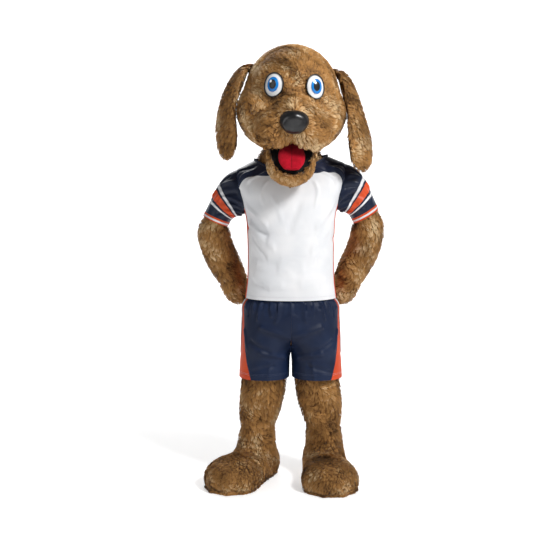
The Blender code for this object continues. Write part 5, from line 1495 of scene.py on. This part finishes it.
def tube(name, path, radius, looks, closed=True):
    """A round tube along points."""
    if closed:
        run = np.roll(path, -1, axis=0) - np.roll(path, 1, axis=0)
    else:
        run = np.gradient(path, axis=0)
    aim = unit(run)
    side = unit(np.cross(aim, unit(path - HEAD_MIDDLE)))
    other = np.cross(aim, side)
    cols = TUBE_COLUMNS
    turns = np.arange(cols)[None, :, None] * 2 * math.pi / cols
    count = len(path)
    sizes = np.full(count, radius)
    if not closed:
        ends = np.minimum(np.arange(count), np.arange(count)[::-1])
        sizes = radius * np.clip(0.25 + ends / 4, 0, 1)
    around = side[:, None] * np.cos(turns) + other[:, None] * np.sin(turns)
    rings = path[:, None] + around * sizes[:, None, None]
    faces = ring_faces(count, cols, closed)
    if not closed:
        faces.append(tuple(range(cols))[::-1])
        faces.append(tuple((count - 1) * cols + j for j in range(cols)))
    obj = mesh_object(name, rings.reshape(-1, 3), faces, looks)
    return obj


TONGUE = table(
    "y z half_thick",
    (-0.160, -0.139, 0.008),
    (-0.180, -0.153, 0.010),
    (-0.196, -0.172, 0.013),
    (-0.211, -0.193, 0.014),
    (-0.225, -0.215, 0.014),
    (-0.237, -0.236, 0.012),
    (-0.246, -0.253, 0.009),
)
TONGUE_SEAM_DEPTH = 0.0052
TONGUE_SEAM_RADIUS = 0.0011


def make_face():
    for name, looks, slot, levels in (
        ("nose", "nose", "black_nose", 2),
        ("mouth_lining", "mouth", "mouth_felt", 1),
        ("tongue", "tongue", "tongue_felt", 2),
        ("ear_lining_left", "ear", "ear_cloth", 2),
        ("ear_lining_right", "ear", "ear_cloth", 2),
    ):
        obj = rounded(name, looks, "_piece", levels)
        if name in ("nose", "tongue"):
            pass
        else:
            area = measured_area(obj)
    for side, sign in SIDES.items():
        aim = eye_aim(sign)
        eye = rounded(f"eye_{side}", "eye", "_piece", 2)
        iris = rounded(f"iris_{side}", "iris", "_piece", 2)
        on_iris = tree_of([f"iris_{side}", f"eye_{side}"])
        for name, size, place, lift, height, looks, slot in (
            ("pupil", PUPIL_SIZE, (0, 0), 0.0003, 0.0012, "black", "black_nose"),
            ("glint", GLINT_SIZE, GLINT_PLACE, 0.0016, 0.0006, "eye", "eye_white"),
        ):
            disc(f"{name}_{side}", on_iris, aim, size, place, lift, height, looks)
        face = tree_of(FACE_NODES + [f"eye_{side}"])
        turns = np.arange(RIM_STEPS) * 2 * math.pi / RIM_STEPS
        rim_size = (EYE_SIZE[0] * RIM_OUT, EYE_SIZE[1] * RIM_OUT)
        ring = oval_on(face, aim, rim_size, (0, 0), turns, RIM_RADIUS * 0.9)
        tube(f"eye_rim_{side}", np.array(ring), RIM_RADIUS, "black")
    path = np.stack([TONGUE["y"], TONGUE["z"]], axis=-1)
    heading = unit(np.gradient(path, axis=0))
    rise = TONGUE["half_thick"] - TONGUE_SEAM_DEPTH
    y = path[:, 0] + rise * heading[:, 1]
    z = path[:, 1] - rise * heading[:, 0]
    seam = points(0.0, y, z) @ HEAD_TURN.T + HEAD_MIDDLE
    places = np.linspace(0, len(seam) - 1, 40)
    seam = np.stack([np.interp(places, np.arange(len(seam)), seam[:, n]) for n in range(3)], axis=-1)
    tube("tongue_seam", seam, TONGUE_SEAM_RADIUS, "dark_red", closed=False)


# The studio.

CAMERA_PLACE = (-0.0676, -3.8, -0.16)
CAMERA_TILT = 4.9
CAMERA_LENS = 58.0
BACKDROP_WIDE = 9.0
PAPER_GLOW = 0.38
WORLD_LIGHT = 0.12
BACKDROP_START, BACKDROP_BEND, BACKDROP_HIGH = -7.0, 3.0, 6.0
BEND_RADIUS = 1.6
FIGURE_MIDDLE = (0, 0, -0.35)


def make_stage():
    looks = Looks("pale_paper", 0.9)
    looks.bump(looks.noise(40.0, 3.0), 0.05, 0.001)
    MATERIALS["paper"] = looks.uneven(0.8, 1.0, (0.86, 0.86, 0.86), (0.88, 0.88, 0.88))
    looks.shader.inputs["Emission Color"].default_value = (1, 1, 1, 1)
    looks.shader.inputs["Emission Strength"].default_value = PAPER_GLOW
    turns = np.linspace(0, math.pi / 2, 24)
    profile = [(BACKDROP_START, 0.0)]
    for t in turns:
        profile.append((BACKDROP_BEND + BEND_RADIUS * math.sin(t), BEND_RADIUS * (1 - math.cos(t))))
    profile.append((BACKDROP_BEND + BEND_RADIUS, BACKDROP_HIGH))
    verts = [(x, y, FLOOR + z) for y, z in profile for x in (-BACKDROP_WIDE, BACKDROP_WIDE)]
    faces = [(2 * n, 2 * n + 1, 2 * n + 3, 2 * n + 2) for n in range(len(profile) - 1)]
    floor = mesh_object("floor_and_backdrop", verts, faces, "paper")
    floor.parent = None
    world = bpy.data.worlds.new("studio")
    world.use_nodes = True
    world.node_tree.nodes["Background"].inputs["Color"].default_value = (1, 1, 1, 1)
    world.node_tree.nodes["Background"].inputs["Strength"].default_value = WORLD_LIGHT
    bpy.context.scene.world = world
    for name, place, target, size, power in (
        ("key", (2.4, -2.6, 2.3), FIGURE_MIDDLE, 1.0, 185.0),
        ("fill", (-2.8, -2.4, 0.7), FIGURE_MIDDLE, 1.6, 20.0),
        ("rim", (-0.8, 2.2, 1.9), FIGURE_MIDDLE, 1.6, 45.0),
        ("backdrop_light", (0, 1.6, 1.6), (0, 4.6, 0.6), 3.0, 75.0),
    ):
        light = bpy.data.lights.new(name, "AREA")
        light.size = size
        light.energy = power
        lamp = bpy.data.objects.new(name, light)
        lamp.location = place
        aim = Vector(target) - Vector(place)
        lamp.rotation_euler = aim.to_track_quat("-Z", "Y").to_euler()
        bpy.context.scene.collection.objects.link(lamp)
    lens = bpy.data.cameras.new("camera")
    lens.lens = CAMERA_LENS
    lens.sensor_width = 36.0
    lens.clip_end = 60.0
    camera = bpy.data.objects.new("camera", lens)
    camera.location = CAMERA_PLACE
    camera.rotation_euler = (math.radians(90 - CAMERA_TILT), 0, 0)
    bpy.context.scene.collection.objects.link(camera)
    bpy.context.scene.camera = camera
    bpy.context.scene.view_settings.view_transform = "Standard"


make_stage()
make_jersey()
make_shorts()
make_stitching()
make_fur()
make_face()
bpy.context.view_layer.update()
